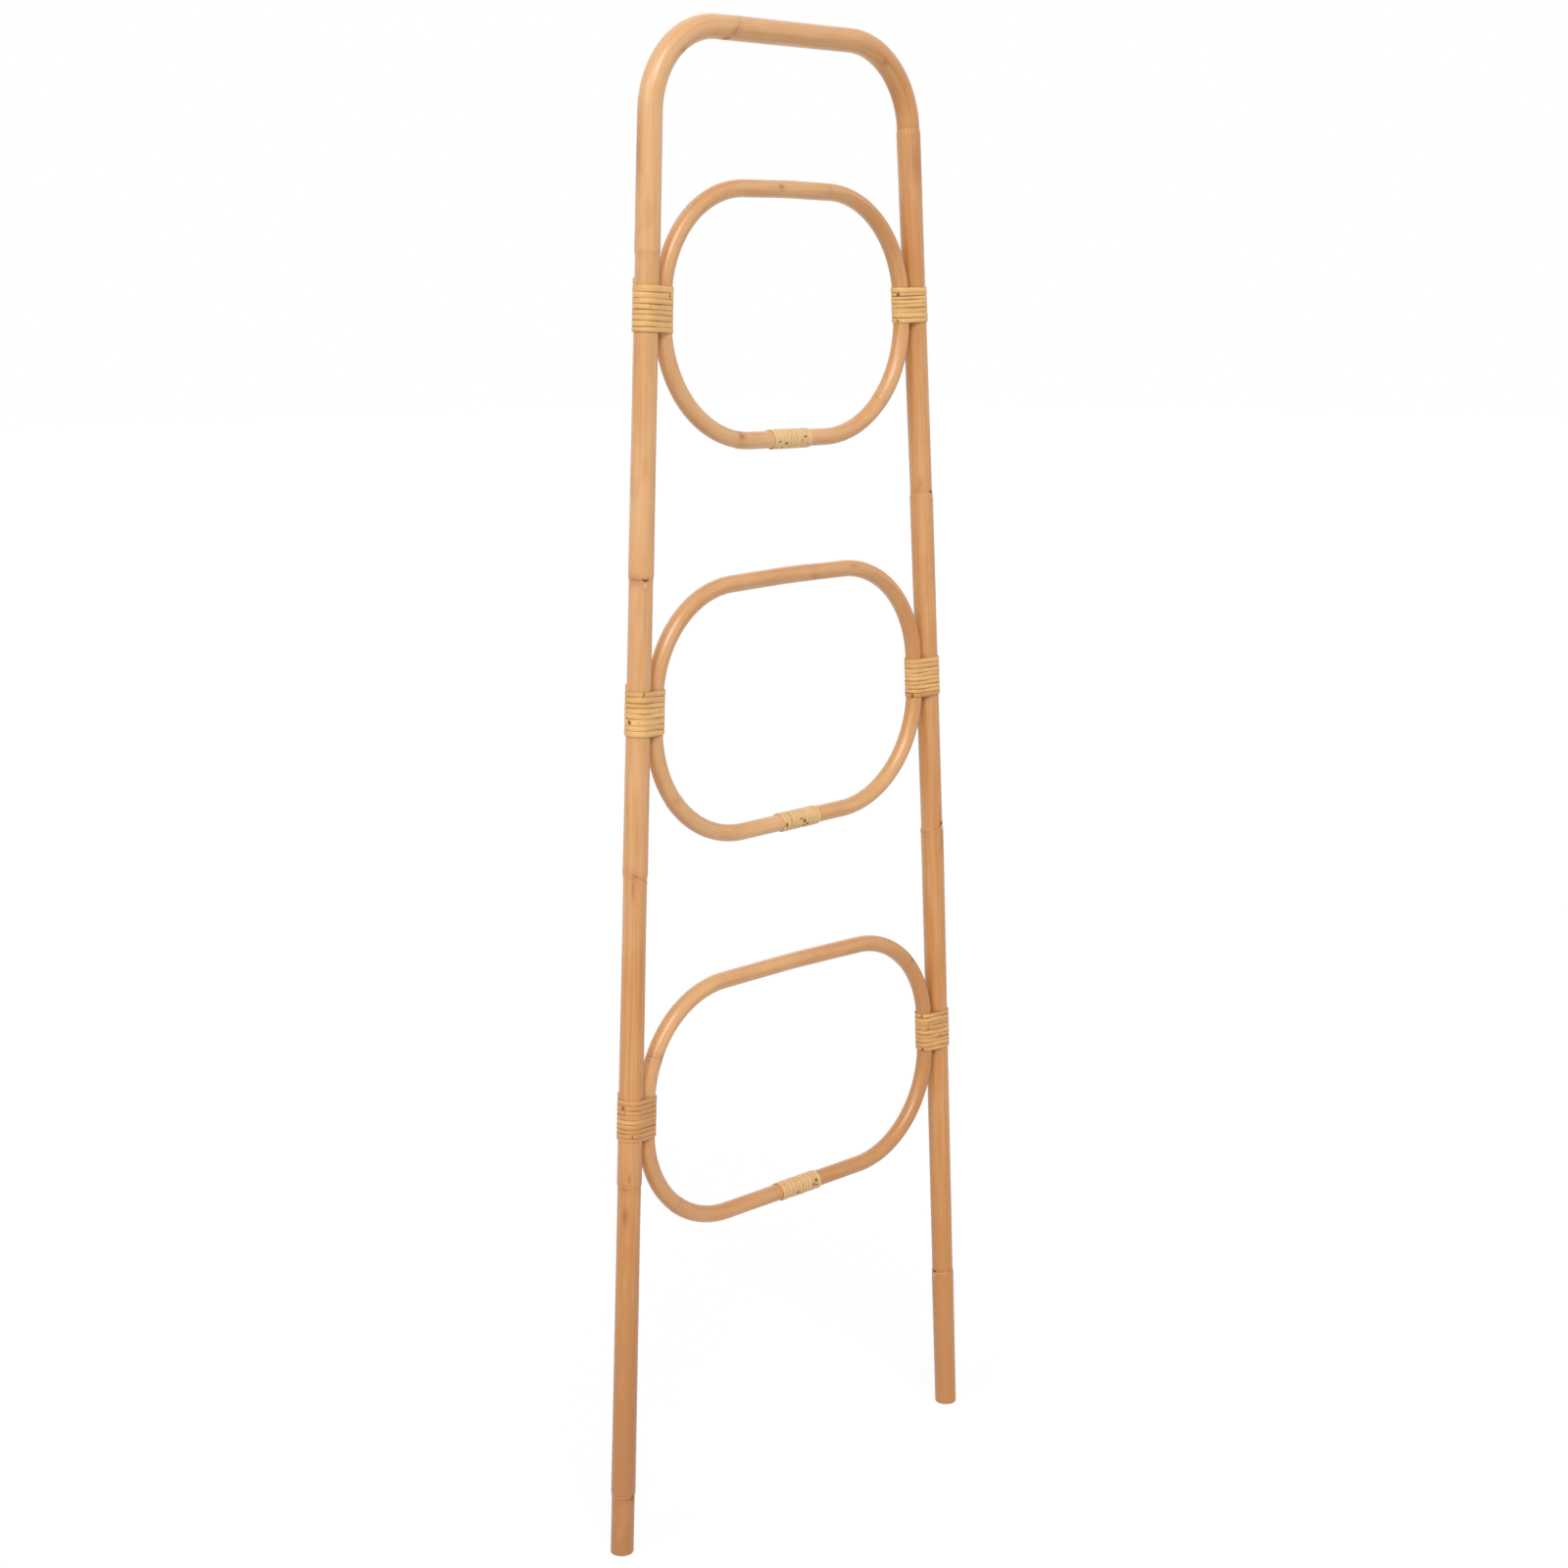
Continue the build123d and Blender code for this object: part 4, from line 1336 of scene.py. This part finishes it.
class CANE_OT_stage(bpy.types.Operator):
    """Set the white floor, the surround, the lamps and the camera."""

    bl_idname = "cane_ladder.stage"
    bl_label = "Stage"

    def execute(self, context):
        studio = context.scene.studio
        mesh = bpy.data.meshes.new("floor")
        half = 30.0
        mesh.from_pydata([(-half, -half, 0), (half, -half, 0), (half, half, 0), (-half, half, 0)], [], [(0, 1, 2, 3)])
        mesh.materials.append(backdrop("White floor", 0.8))
        added(bpy.data.objects.new("floor", mesh))
        self.world(context, studio)
        for name, (spread, place) in LAMPS.items():
            self.lamp(name.capitalize(), getattr(studio, name), spread, place)
        self.camera(context, studio)
        context.scene.view_settings.view_transform = "Standard"
        return {"FINISHED"}

    def world(self, context, studio):
        """A white surround that gives only a soft light."""
        world = bpy.data.worlds.new("Soft surround")
        world.use_nodes = True
        world.node_tree.nodes.clear()
        tree = Tree(world.node_tree)
        strength = studio.surround + seen_directly(tree) * (1 - studio.surround)
        glow = tree.add("ShaderNodeBackground", {}, {"Color": (1.0, 1.0, 1.0, 1.0), "Strength": strength})
        tree.add("ShaderNodeOutputWorld", {}, {"Surface": glow})
        context.scene.world = world

    def lamp(self, name, power, spread, place):
        """A lamp that shines from a place towards the ladder's foot."""
        light = bpy.data.lights.new(name, "SUN")
        light.energy = power
        light.angle = spread
        lamp = added(bpy.data.objects.new(name, light))
        lamp.location = place
        lamp.rotation_euler = (-Vector(place)).to_track_quat("-Z", "Y").to_euler()

    def camera(self, context, studio):
        """The camera at the photograph's place and angles."""
        data = bpy.data.cameras.new("Camera")
        data.lens = studio.lens
        data.sensor_width = 36.0
        data.sensor_fit = "HORIZONTAL"
        yaw, pitch, roll = studio.yaw, studio.pitch, studio.roll
        right = Vector((math.cos(yaw), math.sin(yaw), 0))
        back = Vector((math.sin(yaw) * math.cos(pitch), -math.cos(yaw) * math.cos(pitch), math.sin(pitch)))
        up = back.cross(right)
        turned_right = right * math.cos(roll) + up * math.sin(roll)
        turned_up = up * math.cos(roll) - right * math.sin(roll)
        camera = added(bpy.data.objects.new("Camera", data))
        turn = Matrix((turned_right, turned_up, back)).transposed().to_4x4()
        camera.matrix_world = Matrix.Translation(studio.camera) @ turn
        context.scene.camera = camera


class CANE_PT_ladder(bpy.types.Panel):
    """The pieces of the ladder, in the order in which they are made."""

    bl_label = "Cane ladder"
    bl_idname = "CANE_PT_ladder"
    bl_space_type = "VIEW_3D"
    bl_region_type = "UI"
    bl_category = "Cane ladder"

    def draw(self, context):
        for operator in OPERATORS:
            self.layout.operator(operator.bl_idname)
        for settings in ("cane_sizes", "strand_sizes", "cane_colours", "studio"):
            group = getattr(context.scene, settings)
            for name in group.__annotations__:
                self.layout.prop(group, name)


GROUPS = {
    "cane_sizes": CaneSizes,
    "strand_sizes": StrandSizes,
    "cane_colours": CaneColours,
    "studio": StudioSettings,
}
OPERATORS = (
    CANE_OT_pole,
    CANE_OT_hoops,
    CANE_OT_side_bindings,
    CANE_OT_splice_bindings,
    CANE_OT_tacks,
    CANE_OT_fasteners,
    CANE_OT_stage,
)


def register():
    """Adds the settings, the operators and the panel."""
    for name, group in GROUPS.items():
        bpy.utils.register_class(group)
        setattr(bpy.types.Scene, name, PointerProperty(type=group))
    for operator in OPERATORS:
        bpy.utils.register_class(operator)
    bpy.utils.register_class(CANE_PT_ladder)


def unregister():
    """Takes them away again."""
    bpy.utils.unregister_class(CANE_PT_ladder)
    for operator in reversed(OPERATORS):
        bpy.utils.unregister_class(operator)
    for name, group in GROUPS.items():
        delattr(bpy.types.Scene, name)
        bpy.utils.unregister_class(group)


def main():
    """Makes every piece and the stage."""
    register()
    bpy.ops.cane_ladder.pole()
    bpy.ops.cane_ladder.hoops()
    bpy.ops.cane_ladder.side_bindings()
    bpy.ops.cane_ladder.splice_bindings()
    bpy.ops.cane_ladder.tacks()
    bpy.ops.cane_ladder.fasteners()
    bpy.ops.cane_ladder.stage()


if __name__ == "__main__":
    main()
